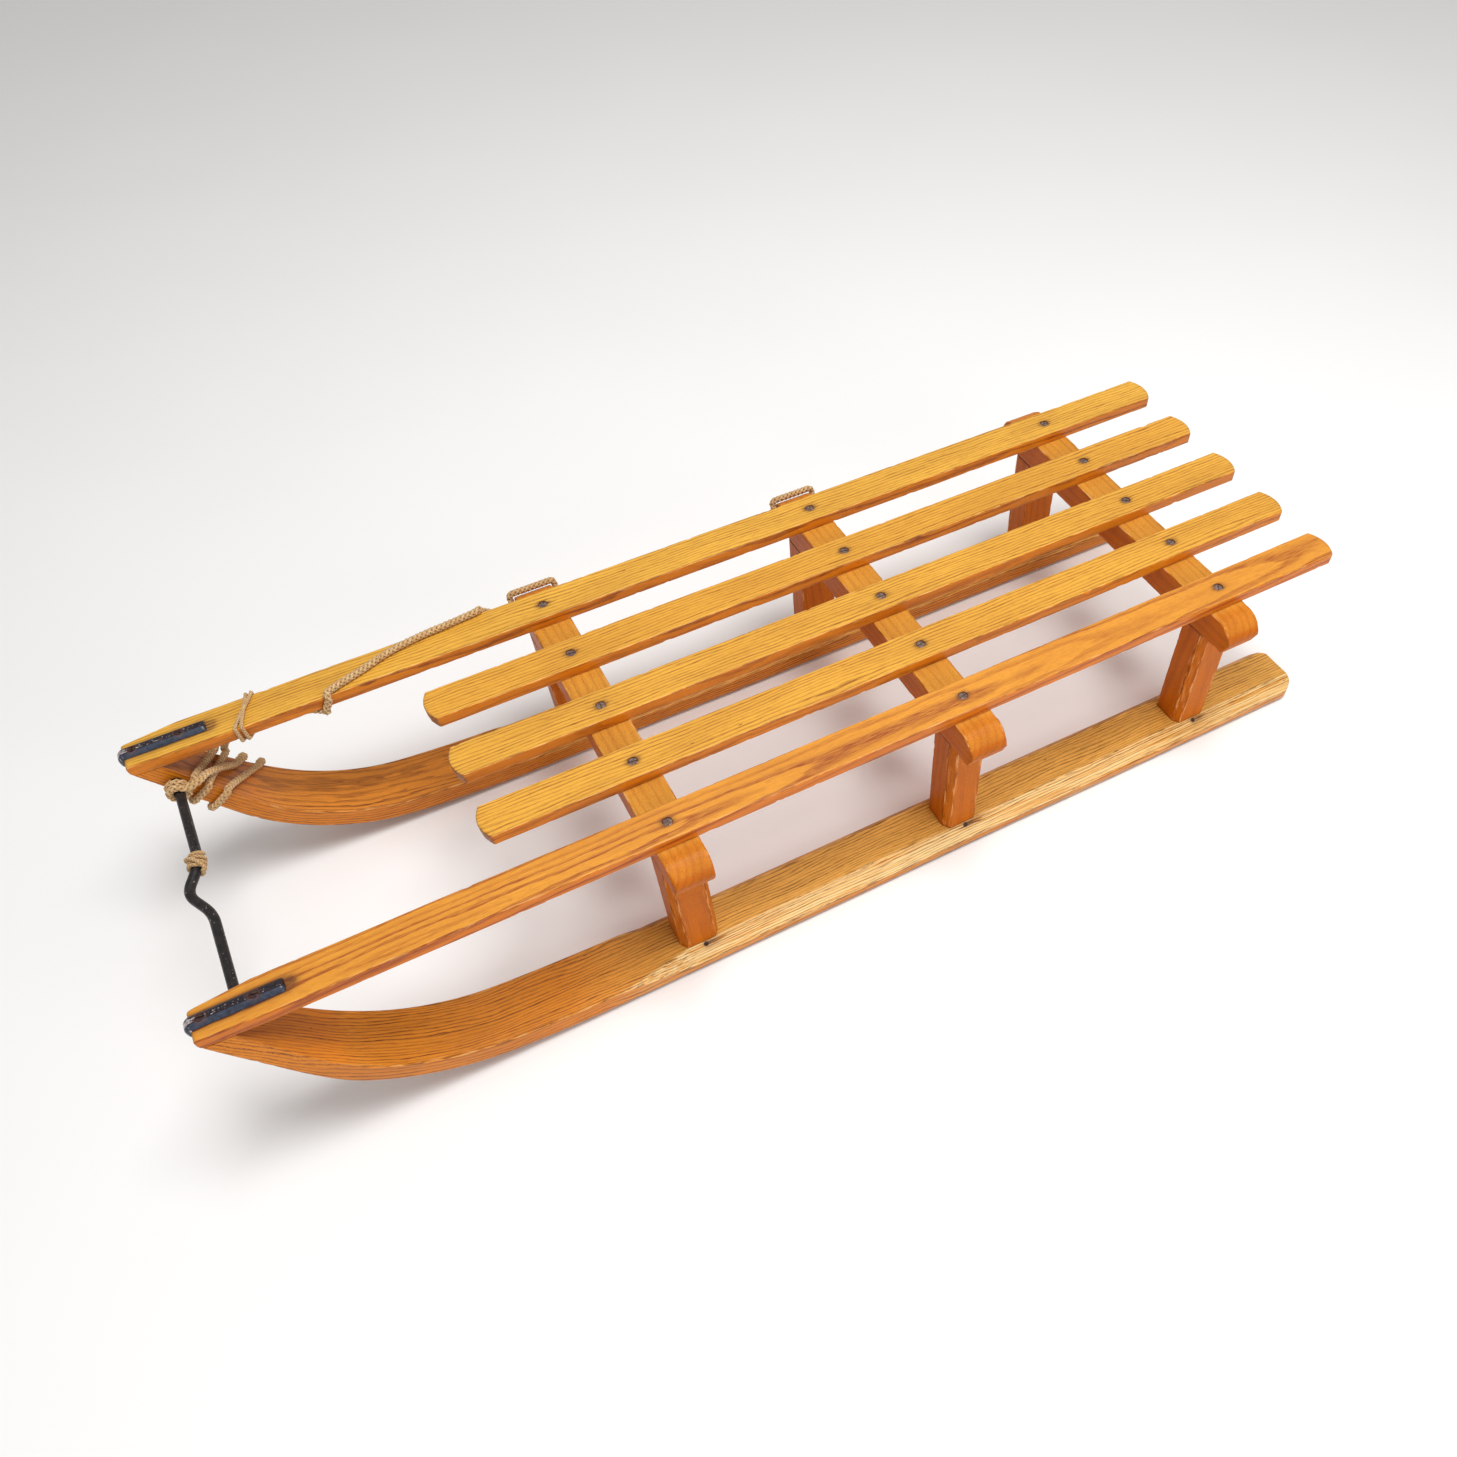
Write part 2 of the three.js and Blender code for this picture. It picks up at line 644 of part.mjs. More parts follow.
// The left runner's two edges in X where its underside is at y.
function hornEdges(y) {
  const share = THREE.MathUtils.clamp((y - HORN_TAPER_START) / (HORN_TIP - HORN_TAPER_START), 0, 1);
  return {
    inner: THREE.MathUtils.lerp(RUNNER_INNER_X, HORN_TIP_INNER_X, share),
    outer: THREE.MathUtils.lerp(RUNNER_OUTER_X, HORN_TIP_OUTER_X, share),
  };
}

// Rope round one lengthwise edge of the horn.
function hornEdge(run, edge, lift, from, to) {
  const x = hornEdges(onHorn(run, 0, lift).y)[edge];
  return roundEdge((du, dv) => onHorn(run, x + du, lift + dv), from, to);
}

// Rope passing under the horn from one edge to the other, over the steel shoe.
function underHorn(innerRun, outerRun) {
  const lift = -STEEL_GAP - STEEL_HEIGHT - ROPE_REACH;
  const run = (share) => THREE.MathUtils.lerp(innerRun, outerRun, share);
  return [onHorn(run(0.42), OUTER_SLAT_X - 4, lift), onHorn(run(0.58), OUTER_SLAT_X + 4, lift)];
}

// Rope round one lengthwise edge of the outer slat.
function slatEdge(y, edge, side, from, to) {
  const x = OUTER_SLAT_X + (edge === "outer" ? SLAT_WIDTH / 2 : -SLAT_WIDTH / 2);
  const z = side === "top" ? SLAT_TOP : SLAT_UNDERSIDE;
  return roundEdge((du, dv) => new THREE.Vector3(x + du, y, z + dv), from, to);
}

// Rope laid over the nose of the crossbar at y, close against its front and rear faces.
function overBar(y) {
  const x = BAR_HALF_LENGTH - 8;
  const top = SLAT_UNDERSIDE - 3.4; // of the nose where the rope crosses it
  const half = BAR_WIDTH / 2;
  const front = roundEdge((dy, dz) => new THREE.Vector3(x, y - half + dy, top + dz), 180, 90);
  const rear = roundEdge((dy, dz) => new THREE.Vector3(x, y + half + dy, top + dz), 90, 0);
  const hanging = (dy) => new THREE.Vector3(x - 8, y + dy, top - 12);
  return [hanging(-half - 6), ...front, ...rear, hanging(half + 6)];
}

// The hitch: rope turned loosely round the draw iron, from its free side in to the horn.
function hitchLine() {
  const turns = 1.75;
  const perTurn = 10;
  const steps = Math.ceil(turns * perTurn);
  const radius = ROD_RADIUS + ROPE_REACH;
  const innerX = hornEdges(ROD_AXIS.y).inner - ROPE_REACH;
  const pitch = 2 * ROPE_RADIUS + 0.6;
  const points = [];
  for (let i = 0; i <= steps; i++) {
    const left = turns * (1 - i / steps);
    const angle = Math.PI + left * 2 * Math.PI;
    const run = ROD_RUN + radius * Math.cos(angle);
    points.push(onHorn(run, innerX - left * pitch, RUNNER_THICKNESS / 2 + radius * Math.sin(angle)));
  }
  return points;
}

// Centre line of the stowed tow rope: round the horn, hitched to the draw iron, round the horn
// again, twice round the slat, across it, and back along the crossbar ends.
function stowedRopeLine() {
  const top = RUNNER_THICKNESS;
  const first = { inner: 24, outer: -28 };
  const over = { outer: -7 };
  const second = { inner: ROD_RUN - ROD_RADIUS - ROPE_REACH, outer: 24 };
  const third = { inner: 42, outer: 13 };
  const surface = top + ROPE_REACH;
  const raised = surface + 2 * ROPE_RADIUS + 0.7;
  const under = SLAT_UNDERSIDE - ROPE_REACH;
  const upon = SLAT_TOP + ROPE_REACH;
  return [
    onHorn(first.outer, OUTER_SLAT_X + 15, -ROPE_REACH),
    ...hornEdge(first.outer, "outer", 0, -90, 0),
    ...hornEdge(first.outer, "outer", top, 0, 90),
    ...hornEdge(first.inner, "inner", top, 90, 180),
    ...hornEdge(first.inner, "inner", 0, 180, 270),
    ...underHorn(first.inner, over.outer),
    ...hornEdge(over.outer, "outer", 0, -90, 0),
    ...hornEdge(over.outer, "outer", top, 0, 90),
    onHorn(8, 172, surface),
    onHorn(22, 158, surface + 5),
    onHorn(32, 149, raised),
    onHorn(50, 131, raised + 1),
    onHorn(57, 121, surface + 4),
    ...hitchLine(),
    ...hornEdge(second.inner, "inner", top, 180, 90),
    ...hornEdge(second.outer, "outer", top, 90, 0),
    ...hornEdge(second.outer, "outer", 0, 0, -90),
    ...underHorn(third.inner, second.outer).reverse(),
    ...hornEdge(third.inner, "inner", 0, 270, 180),
    ...hornEdge(third.inner, "inner", top, 180, 90),
    ...hornEdge(third.outer, "outer", top, 90, 30),
    ...slatEdge(-482, "outer", "bottom", -20, 0),
    ...slatEdge(-456, "outer", "top", 0, 90),
    ...slatEdge(-463, "inner", "top", 90, 180),
    ...slatEdge(-463, "inner", "bottom", 180, 270),
    ...slatEdge(-452, "outer", "bottom", -90, 0),
    ...slatEdge(-448.5, "outer", "top", 0, 90),
    ...slatEdge(-456, "inner", "top", 90, 180),
    ...slatEdge(-456, "inner", "bottom", 180, 260),
    new THREE.Vector3(146, -436, under),
    new THREE.Vector3(146, -412, under),
    ...slatEdge(-394, "inner", "bottom", 260, 180),
    ...slatEdge(-387, "inner", "top", 180, 90),
    new THREE.Vector3(149, -351, upon),
    new THREE.Vector3(161, -318, upon),
    new THREE.Vector3(166.5, -288, upon),
    new THREE.Vector3(170, -251, upon),
    ...slatEdge(-226, "outer", "top", 90, 20),
    ...overBar(TRESTLES.front),
    new THREE.Vector3(184, -100, 160),
    new THREE.Vector3(180, -20, 155),
    new THREE.Vector3(184, 60, 159),
    ...overBar(TRESTLES.middle),
    new THREE.Vector3(186, 180, 164),
  ];
}

function piece(name, geometry, material, position = new THREE.Vector3()) {
  const mesh = new THREE.Mesh(geometry, material);
  mesh.name = name;
  mesh.position.copy(position);
  return mesh;
}

// Everything that comes in a left and a right version; the right side is the mirrored left side.
function sidePieces(side) {
  const group = new THREE.Group();
  if (side === "right") group.scale.x = -1;
  const taper = side === "left" ? [NOSE_WIDE_TAPER, NOSE_SLIM_TAPER] : [NOSE_SLIM_TAPER, NOSE_WIDE_TAPER];
  const slatPlace = new THREE.Vector3(OUTER_SLAT_X, 0, 0);
  group.add(piece(`slat_${side}_outer`, outerSlat(...taper), ash(), slatPlace));
  group.add(piece(`slat_${side}_inner`, innerSlat(), ash(), new THREE.Vector3(SLAT_PITCH, 0, 0)));
  group.add(piece(`runner_${side}`, runner(), ash()));
  group.add(piece(`runner_steel_${side}`, runnerSteel(), blackSteel()));
  for (const [place, y] of Object.entries(TRESTLES)) {
    group.add(piece(`post_${side}_${place}`, post(y), beech()));
    const pinned = geometryOf(solid(nail(0, 0)));
    const pin = piece(`post_nail_${side}_${place}`, pinned, rustySteel(), nailPlace(y));
    pin.rotation.y = bevelPitch();
    group.add(pin);
  }
  const steelScrew = screwGeometry(STEEL_SCREW);
  topSteelScrewPlaces(OUTER_SLAT_X).forEach((place, i) => {
    const screw = piece(`nose_screw_${side}_${i + 1}`, steelScrew, rustySteel(), place);
    screw.rotation.z = 0.6 + 1.1 * i;
    group.add(screw);
  });
  shoeScrewPlaces().forEach((place, i) => {
    const screw = piece(`shoe_screw_${side}_${i + 1}`, steelScrew, rustySteel(), place);
    screw.rotation.set(0, Math.PI, 0.4 + 0.9 * i);
    group.add(screw);
  });
  return group;
}

function slatScrews() {
  const group = new THREE.Group();
  const geometry = screwGeometry(SLAT_SCREW);
  const slats = ["right_outer", "right_inner", "centre", "left_inner", "left_outer"];
  slats.forEach((slat, column) => {
    slatScrewPlaces((column - 2) * SLAT_PITCH).forEach((place, row) => {
      const name = `slat_screw_${slat}_${Object.keys(TRESTLES)[row]}`;
      const screw = piece(name, geometry, rustySteel(), place);
      screw.rotation.z = 0.5 + 1.3 * column + 0.8 * row;
      group.add(screw);
    });
  });
  return group;
}

const sled = new THREE.Group();
sled.add(piece("slat_centre", innerSlat(), ash()));
for (const [place, y] of Object.entries(TRESTLES)) {
  sled.add(piece(`crossbar_${place}`, crossbar(y), beech()));
}
sled.add(sidePieces("left"), sidePieces("right"), slatScrews());
sled.add(piece("draw_iron", roundBar(rodLine(), ROD_RADIUS, 16), blackSteel()));
sled.add(piece("rope_bow_knot", roundBar(bowKnotLine(), CORD_RADIUS, 6), jute()));
const ropeSide = new THREE.Group();
ropeSide.scale.x = -1;
ropeSide.add(piece("rope_stowed", roundBar(stowedRopeLine(), ROPE_RADIUS, 6), jute()));
sled.add(ropeSide);

export default sled;
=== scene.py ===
import json
import math

import bmesh
import bpy
import numpy as np
from mathutils import Matrix, Vector, noise


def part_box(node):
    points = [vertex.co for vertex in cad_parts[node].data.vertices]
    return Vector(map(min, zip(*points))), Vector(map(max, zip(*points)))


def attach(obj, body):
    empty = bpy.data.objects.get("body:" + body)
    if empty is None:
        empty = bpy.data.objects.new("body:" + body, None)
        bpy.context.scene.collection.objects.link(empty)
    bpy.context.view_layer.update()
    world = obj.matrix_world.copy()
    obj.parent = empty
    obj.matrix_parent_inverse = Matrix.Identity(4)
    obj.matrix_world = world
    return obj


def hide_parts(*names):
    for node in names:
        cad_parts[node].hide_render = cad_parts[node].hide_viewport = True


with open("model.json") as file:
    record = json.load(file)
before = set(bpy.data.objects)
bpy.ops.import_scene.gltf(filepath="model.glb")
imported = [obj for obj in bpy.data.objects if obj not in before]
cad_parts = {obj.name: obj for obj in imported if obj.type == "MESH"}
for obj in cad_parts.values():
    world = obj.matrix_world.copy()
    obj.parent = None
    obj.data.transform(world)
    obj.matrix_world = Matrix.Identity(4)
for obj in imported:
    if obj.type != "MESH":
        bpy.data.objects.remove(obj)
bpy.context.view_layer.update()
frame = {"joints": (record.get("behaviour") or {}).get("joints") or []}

MM = 0.001
SIDES = {"left": 1, "right": -1}
TRESTLES = ("front", "middle", "rear")
SLATS = ("right_outer", "right_inner", "centre", "left_inner", "left_outer")

# ---------------------------------------------------------------- measures taken from the frame


def low(node):
    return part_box(node)[0]


def high(node):
    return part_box(node)[1]


def middle(node):
    return (low(node) + high(node)) / 2


RUNNER_LOW, RUNNER_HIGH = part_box("runner_left")
POST_LOW, POST_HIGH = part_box("post_left_front")
BAR_LOW, BAR_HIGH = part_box("crossbar_front")
SLAT_LOW, SLAT_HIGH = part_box("slat_left_outer")
INNER_LOW, INNER_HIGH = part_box("slat_centre")
STEEL_LOW, STEEL_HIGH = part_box("runner_steel_left")
ROD_LOW, ROD_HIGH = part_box("draw_iron")

SLAT_TOP = SLAT_HIGH.z
SLAT_UNDERSIDE = SLAT_LOW.z
SLAT_HALF = (INNER_HIGH.x - INNER_LOW.x) / 2
SLAT_X = (SLAT_LOW.x + SLAT_HIGH.x) / 2
BAR_Y = {place: middle(f"crossbar_{place}").y for place in TRESTLES}
BAR_HALF_WIDTH = (BAR_HIGH.y - BAR_LOW.y) / 2
UNDERSIDE = RUNNER_LOW.z
ROD_AXIS = Vector(frame["joints"][0]["pos_m"])

# Shape of a runner that a box can't tell: level, a slow bend, a tight bend and a straight horn.
THICKNESS = 19.5 * MM
RUNNER_TOP = UNDERSIDE + THICKNESS
BEND_START = -220 * MM
SLOW_RADIUS = 1280 * MM
SLOW_ANGLE = math.radians(6.4)
TIGHT_RADIUS = 210 * MM
HORN_ANGLE = math.radians(56.3)
SHRINK = SLOW_RADIUS - TIGHT_RADIUS
SLOW_CENTER = (BEND_START, UNDERSIDE + SLOW_RADIUS)
TIGHT_CENTER = (
    SLOW_CENTER[0] - SHRINK * math.sin(SLOW_ANGLE),
    SLOW_CENTER[1] - SHRINK * math.cos(SLOW_ANGLE),
)
LEVEL_LENGTH = RUNNER_HIGH.y - BEND_START
SLOW_LENGTH = SLOW_RADIUS * SLOW_ANGLE
TIGHT_LENGTH = TIGHT_RADIUS * (HORN_ANGLE - SLOW_ANGLE)
HORN_START = LEVEL_LENGTH + SLOW_LENGTH + TIGHT_LENGTH

# Shape of the slats' ends and of the worn edges.
SLAT_END_RISE = 6.5 * MM
NOSE_TAPER_START = SLAT_LOW.y + 52 * MM
NOSE_WIDE_TAPER = 6 * MM
NOSE_SLIM_TAPER = 1.5 * MM
NOSE_CORNER = 2 * MM
NOSE_ROUND = 4 * MM
END_EDGE = 1.0 * MM
BULGE_REACH = 40 * MM

# Steel bars, screws and nails.
STEEL_HALF = (STEEL_HIGH.x - STEEL_LOW.x) / 2
STEEL_TOP_END = -495 * MM
STEEL_GAP = 0.25 * MM
STEEL_ARRIS = 1.2 * MM
STEEL_HEIGHT = UNDERSIDE - STEEL_GAP
SCREW_RECESS = 0.6 * MM
SCREW_HEAD = 4.4 * MM
SCREW_SEAT_RADIUS = SCREW_HEAD + 0.35 * MM
SCREW_SEAT = ((1.6 * MM, -5 * MM), (SCREW_SEAT_RADIUS, -1.6 * MM), (SCREW_SEAT_RADIUS, 2 * MM))
STEEL_SCREW_HEAD = 3.6 * MM
STEEL_SCREW_RECESS = 0.1 * MM
STEEL_SCREW_TOP = SLAT_TOP + STEEL_GAP + STEEL_HEIGHT - STEEL_SCREW_RECESS
STEEL_SEAT_RADIUS = STEEL_SCREW_HEAD + 0.25 * MM
STEEL_SCREW_SEAT = (
    (STEEL_SCREW_HEAD - 0.5 * MM, -2.4 * MM),
    (STEEL_SEAT_RADIUS, -0.9 * MM),
    (STEEL_SEAT_RADIUS, 2 * MM),
)
ROD_RADIUS = (ROD_HIGH.z - ROD_LOW.z) / 2
ROPE_RADIUS = 3.1 * MM
ROPE_REACH = ROPE_RADIUS + 0.7 * MM
CORD_RADIUS = 1.6 * MM
CORD_SIZE = CORD_RADIUS / ROPE_RADIUS

rng = np.random.default_rng(11)


def runner_frame(length):
    """(y, z, slope) on the runner's underside at a length measured from its rear end."""
    if length < LEVEL_LENGTH:
        return RUNNER_HIGH.y - length, UNDERSIDE, 0.0
    if length < LEVEL_LENGTH + SLOW_LENGTH:
        slope = (length - LEVEL_LENGTH) / SLOW_RADIUS
        center, radius = SLOW_CENTER, SLOW_RADIUS
    else:
        slope = min(SLOW_ANGLE + (length - LEVEL_LENGTH - SLOW_LENGTH) / TIGHT_RADIUS, HORN_ANGLE)
        center, radius = TIGHT_CENTER, TIGHT_RADIUS
    past = max(length - HORN_START, 0.0)
    y = center[0] - radius * math.sin(slope) - past * math.cos(slope)
    z = center[1] - radius * math.cos(slope) + past * math.sin(slope)
    return y, z, slope


def on_runner(length, x, lift):
    """The point at a length along the runner, at x and at a height above its underside."""
    y, z, slope = runner_frame(length)
    return Vector((x, y + lift * math.sin(slope), z + lift * math.cos(slope)))


HORN_TIP_RUN = (SLAT_UNDERSIDE - runner_frame(HORN_START)[1]) / math.sin(HORN_ANGLE)
HORN_TIP_Y = runner_frame(HORN_START + HORN_TIP_RUN)[0]


def unroll(points):
    """Length along the runner and lift above its underside of points (n, 3)."""
    y, z = points[:, 1], points[:, 2]
    slow = np.arctan2(SLOW_CENTER[0] - y, SLOW_CENTER[1] - z)
    tight = np.arctan2(TIGHT_CENTER[0] - y, TIGHT_CENTER[1] - z)
    horn_y, horn_z, _ = runner_frame(HORN_START)
    along = (horn_y - y) * math.cos(HORN_ANGLE) + (z - horn_z) * math.sin(HORN_ANGLE)
    across = (y - horn_y) * math.sin(HORN_ANGLE) + (z - horn_z) * math.cos(HORN_ANGLE)
    slow_radius = np.hypot(SLOW_CENTER[0] - y, SLOW_CENTER[1] - z)
    tight_radius = np.hypot(TIGHT_CENTER[0] - y, TIGHT_CENTER[1] - z)
    length = RUNNER_HIGH.y - y
    lift = z - UNDERSIDE
    in_slow = y < BEND_START
    in_tight = in_slow & (slow > SLOW_ANGLE)
    in_horn = in_tight & (tight > HORN_ANGLE)
    length = np.where(in_slow, LEVEL_LENGTH + slow * SLOW_RADIUS, length)
    lift = np.where(in_slow, SLOW_RADIUS - slow_radius, lift)
    tight_length = LEVEL_LENGTH + SLOW_LENGTH + (tight - SLOW_ANGLE) * TIGHT_RADIUS
    length = np.where(in_tight, tight_length, length)
    lift = np.where(in_tight, TIGHT_RADIUS - tight_radius, lift)
    length = np.where(in_horn, HORN_START + along, length)
    lift = np.where(in_horn, across, lift)
    return length, lift


# ---------------------------------------------------------------- mesh helpers


def outline(corners, radii, arc_points, edge_points):
    """Closed outlines of rounded polygons, one per station.

    corners is a list of coordinate pairs, each an array over the stations, and radii is
    (stations, corners). Every corner becomes an arc of arc_points + 1 points, and edge_points[i]
    more points, closest together near the corners, follow on the edge after corner i."""
    corners = np.stack([np.stack(corner, 1) for corner in corners], axis=1)
    to_before = np.roll(corners, 1, axis=1) - corners
    to_after = np.roll(corners, -1, axis=1) - corners
    to_before /= np.linalg.norm(to_before, axis=2, keepdims=True)
    to_after /= np.linalg.norm(to_after, axis=2, keepdims=True)
    half = np.arccos(np.clip((to_before * to_after).sum(2), -1, 1)) / 2
    bisector = to_before + to_after
    bisector /= np.linalg.norm(bisector, axis=2, keepdims=True)
    center = corners + bisector * (radii / np.sin(half))[..., None]
    start = corners + to_before * (radii / np.tan(half))[..., None]
    end = corners + to_after * (radii / np.tan(half))[..., None]
    sweep = math.pi - 2 * half
    points = []
    for i in range(corners.shape[1]):
        from_center = start[:, i] - center[:, i]
        to_end = end[:, i] - center[:, i]
        turn = np.sign(from_center[:, 0] * to_end[:, 1] - from_center[:, 1] * to_end[:, 0])
        for k in range(arc_points + 1):
            angle = turn * sweep[:, i] * k / arc_points
            cos, sin = np.cos(angle), np.sin(angle)
            x = center[:, i, 0] + from_center[:, 0] * cos - from_center[:, 1] * sin
            y = center[:, i, 1] + from_center[:, 0] * sin + from_center[:, 1] * cos
            points.append(np.stack([x, y], axis=1))
        following = start[:, (i + 1) % corners.shape[1]]
        for k in range(1, edge_points[i] + 1):
            share = (1 - math.cos(math.pi * k / (edge_points[i] + 1))) / 2
            points.append(end[:, i] * (1 - share) + following * share)
    return np.stack(points, axis=1)


def skin(rings):
    """Vertices and faces of a skin over rings (stations, points, 3), capped at both ends."""
    stations, count = rings.shape[:2]
    index = np.arange(stations * count).reshape(stations, count)
    lower, upper = index[:-1], index[1:]
    quads = np.stack([lower, np.roll(lower, -1, 1), np.roll(upper, -1, 1), upper], axis=-1)
    faces = [tuple(face) for face in quads.reshape(-1, 4).tolist()]
    faces.append(tuple(reversed(index[0].tolist())))
    faces.append(tuple(index[-1].tolist()))
    return rings.reshape(-1, 3), faces


def rings_of(x, y, z):
    """Rings for skin from coordinates that broadcast together."""
    return np.stack(np.broadcast_arrays(x, y, z), axis=-1)


def joined(shapes):
    """Several (vertices, faces) shapes as one."""
    vertices, faces, offset = [], [], 0
    for points, polygons in shapes:
        vertices.append(np.asarray(points))
        faces += [tuple(i + offset for i in face) for face in polygons]
        offset += len(points)
    return np.concatenate(vertices), faces


def turned(profile, sides=32, center=(0, 0, 0)):
    """A solid of revolution about Z from (radius, height) pairs, capped flat at both ends."""
    angles = np.arange(sides) * 2 * math.pi / sides
    rings = np.array([[(r * math.cos(a), r * math.sin(a), h) for a in angles] for r, h in profile])
    return skin(rings + np.asarray(center, float))


def new_mesh(name, vertices, faces):
    mesh = bpy.data.meshes.new(name)
    mesh.from_pydata(np.asarray(vertices).tolist(), [], faces)
    tidy = bmesh.new()
    tidy.from_mesh(mesh)
    bmesh.ops.recalc_face_normals(tidy, faces=tidy.faces)
    bmesh.ops.triangulate(tidy, faces=[face for face in tidy.faces if len(face.verts) > 4])
    tidy.to_mesh(mesh)
    tidy.free()
    return mesh


def new_object(name, mesh):
    piece = bpy.data.objects.new(name, mesh)
    bpy.context.scene.collection.objects.link(piece)
    return piece


def cut(piece, cutter_shapes):
    """Cuts closed shapes out of a piece's mesh."""
    cutter = new_object("cutter", new_mesh("cutter", *joined(cutter_shapes)))
    modifier = piece.modifiers.new("cut", "BOOLEAN")
    modifier.operation = "DIFFERENCE"
    modifier.solver = "EXACT"
    modifier.object = cutter
    depsgraph = bpy.context.evaluated_depsgraph_get()
    mesh = bpy.data.meshes.new_from_object(piece.evaluated_get(depsgraph))
    piece.modifiers.clear()
    old = piece.data
    piece.data = mesh
    bpy.data.meshes.remove(old)
    bpy.data.objects.remove(cutter)


def coordinates(piece):
    points = np.zeros(len(piece.data.vertices) * 3)
    piece.data.vertices.foreach_get("co", points)
    return points.reshape(-1, 3)


def attribute(piece, name, values):
    layer = piece.data.attributes.new(name, "FLOAT_VECTOR", "POINT")
    layer.data.foreach_set("vector", np.asarray(values, np.float32).reshape(-1))


def finish(piece, nodes, material, body="frame", sharp=40):
    """Shades a piece, gives it its material, and lets it ride for the CAD nodes it replaces."""
    piece.data.shade_smooth()
    piece.data.set_sharp_from_angle(angle=math.radians(sharp))
    piece.data.materials.clear()
    piece.data.materials.append(material)
    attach(piece, body)
    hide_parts(*nodes)


def wander(length, scale, size, seed):
    """Smooth noise along a line, for positions in an array."""
    return np.array([noise.noise(Vector((float(v) / scale, seed * 7.31, 0.5))) for v in length]) * size


# ---------------------------------------------------------------- material helpers


class Shader:
    """A material being put together from nodes."""

    def __init__(self, name):
        self.material = bpy.data.materials.new(name)
        self.material.use_nodes = True
        self.tree = self.material.node_tree
        self.surface = self.tree.nodes["Principled BSDF"]

    def link(self, value, socket):
        if isinstance(value, bpy.types.NodeSocket):
            self.tree.links.new(value, socket)
        else:
            socket.default_value = value

    def node(self, kind, output, settings=None, **inputs):
        made = self.tree.nodes.new(kind)
        for key, value in (settings or {}).items():
            setattr(made, key, value)
        for key, value in inputs.items():
            name = int(key[1:]) if key[0] == "i" and key[1:].isdigit() else key.replace("_", " ")
            self.link(value, made.inputs[name])
        return made.outputs[output]

    def math(self, operation, a, b=0.0, c=0.0):
        return self.node("ShaderNodeMath", 0, {"operation": operation}, i0=a, i1=b, i2=c)

    def product(self, a, b):
        return self.math("MULTIPLY", a, b)

    def sum(self, a, b):
        return self.math("ADD", a, b)

    def attribute(self, name):
        return self.node("ShaderNodeAttribute", "Vector", {"attribute_name": name})

    def split(self, vector):
        node = self.tree.nodes.new("ShaderNodeSeparateXYZ")
        self.link(vector, node.inputs[0])
        return node.outputs[0], node.outputs[1], node.outputs[2]

    def scaled(self, vector, x, y, z):
        return self.node("ShaderNodeVectorMath", 0, {"operation": "MULTIPLY"}, i0=vector, i1=(x, y, z))

    def noise(self, vector, scale=1.0, detail=2.0, roughness=0.5):
        inputs = {"Vector": vector, "Scale": scale, "Detail": detail, "Roughness": roughness}
        return self.node("ShaderNodeTexNoise", "Fac", None, **inputs)

    def cells(self, vector, scale=1.0):
        return self.node("ShaderNodeTexVoronoi", "Distance", None, Vector=vector, Scale=scale)

    def step(self, value, low_edge, high_edge, from_value=0.0, to_value=1.0):
        settings = {"interpolation_type": "SMOOTHSTEP"}
        return self.node(
            "ShaderNodeMapRange", 0, settings, i0=value, i1=low_edge, i2=high_edge, i3=from_value, i4=to_value
        )

    def mix(self, factor, a, b, blend="MIX"):
        node = self.tree.nodes.new("ShaderNodeMix")
        node.data_type = "RGBA"
        node.blend_type = blend
        self.link(factor, node.inputs[0])
        self.link(a, node.inputs[6])
        self.link(b, node.inputs[7])
        return node.outputs[2]

    def bump(self, height, distance, strength=1.0):
        normal = self.node("ShaderNodeBump", 0, None, Height=height, Distance=distance, Strength=strength)
        self.link(normal, self.surface.inputs["Normal"])

    def set(self, **inputs):
        for key, value in inputs.items():
            self.link(value, self.surface.inputs[key.replace("_", " ")])


def color(*channels):
    """A screen colour, 0 to 255, as the linear colour a shader takes."""
    shares = [v / 255 for v in channels]
    linear = [v / 12.92 if v <= 0.04 else ((v + 0.055) / 1.055) ** 2.4 for v in shares]
    return (*linear, 1.0)


# ---------------------------------------------------------------- materials


def growth_lines(s, grain, ring, dash):
    """The dark, broken lines of the year rings, each of its own strength, 0 to 1."""
    across = s.scaled(grain, 1, 1, 0)
    radius = s.node("ShaderNodeVectorMath", "Value", {"operation": "LENGTH"}, i0=across)
    sway = s.noise(s.scaled(grain, 0.03, 0.03, 0.006), detail=3)
    ripple = s.noise(s.scaled(grain, 0.3, 0.3, 0.03), detail=3)
    radius = s.sum(radius, s.product(sway, 14.0))
    radius = s.sum(radius, s.product(ripple, 2.2))
    year = s.math("DIVIDE", radius, ring)
    phase = s.math("FRACT", year)
    early = s.product(s.step(phase, 0.0, 0.1), s.step(phase, 0.62, 0.2))
    one_value = {"noise_dimensions": "1D"}
    strength = s.node("ShaderNodeTexWhiteNoise", "Value", one_value, W=s.math("FLOOR", year))
    early = s.product(early, s.step(strength, 0.0, 1.0, 0.5, 1.0))
    pores = s.noise(s.scaled(grain, 1.9, 1.9, dash), detail=2)
    streaks = s.noise(s.scaled(grain, 0.5, 0.5, 0.012), detail=2)
    broken = s.product(s.step(pores, 0.4, 0.58, 0.4, 1.0), s.step(streaks, 0.3, 0.6, 0.65, 1.0))
    return s.product(early, broken)


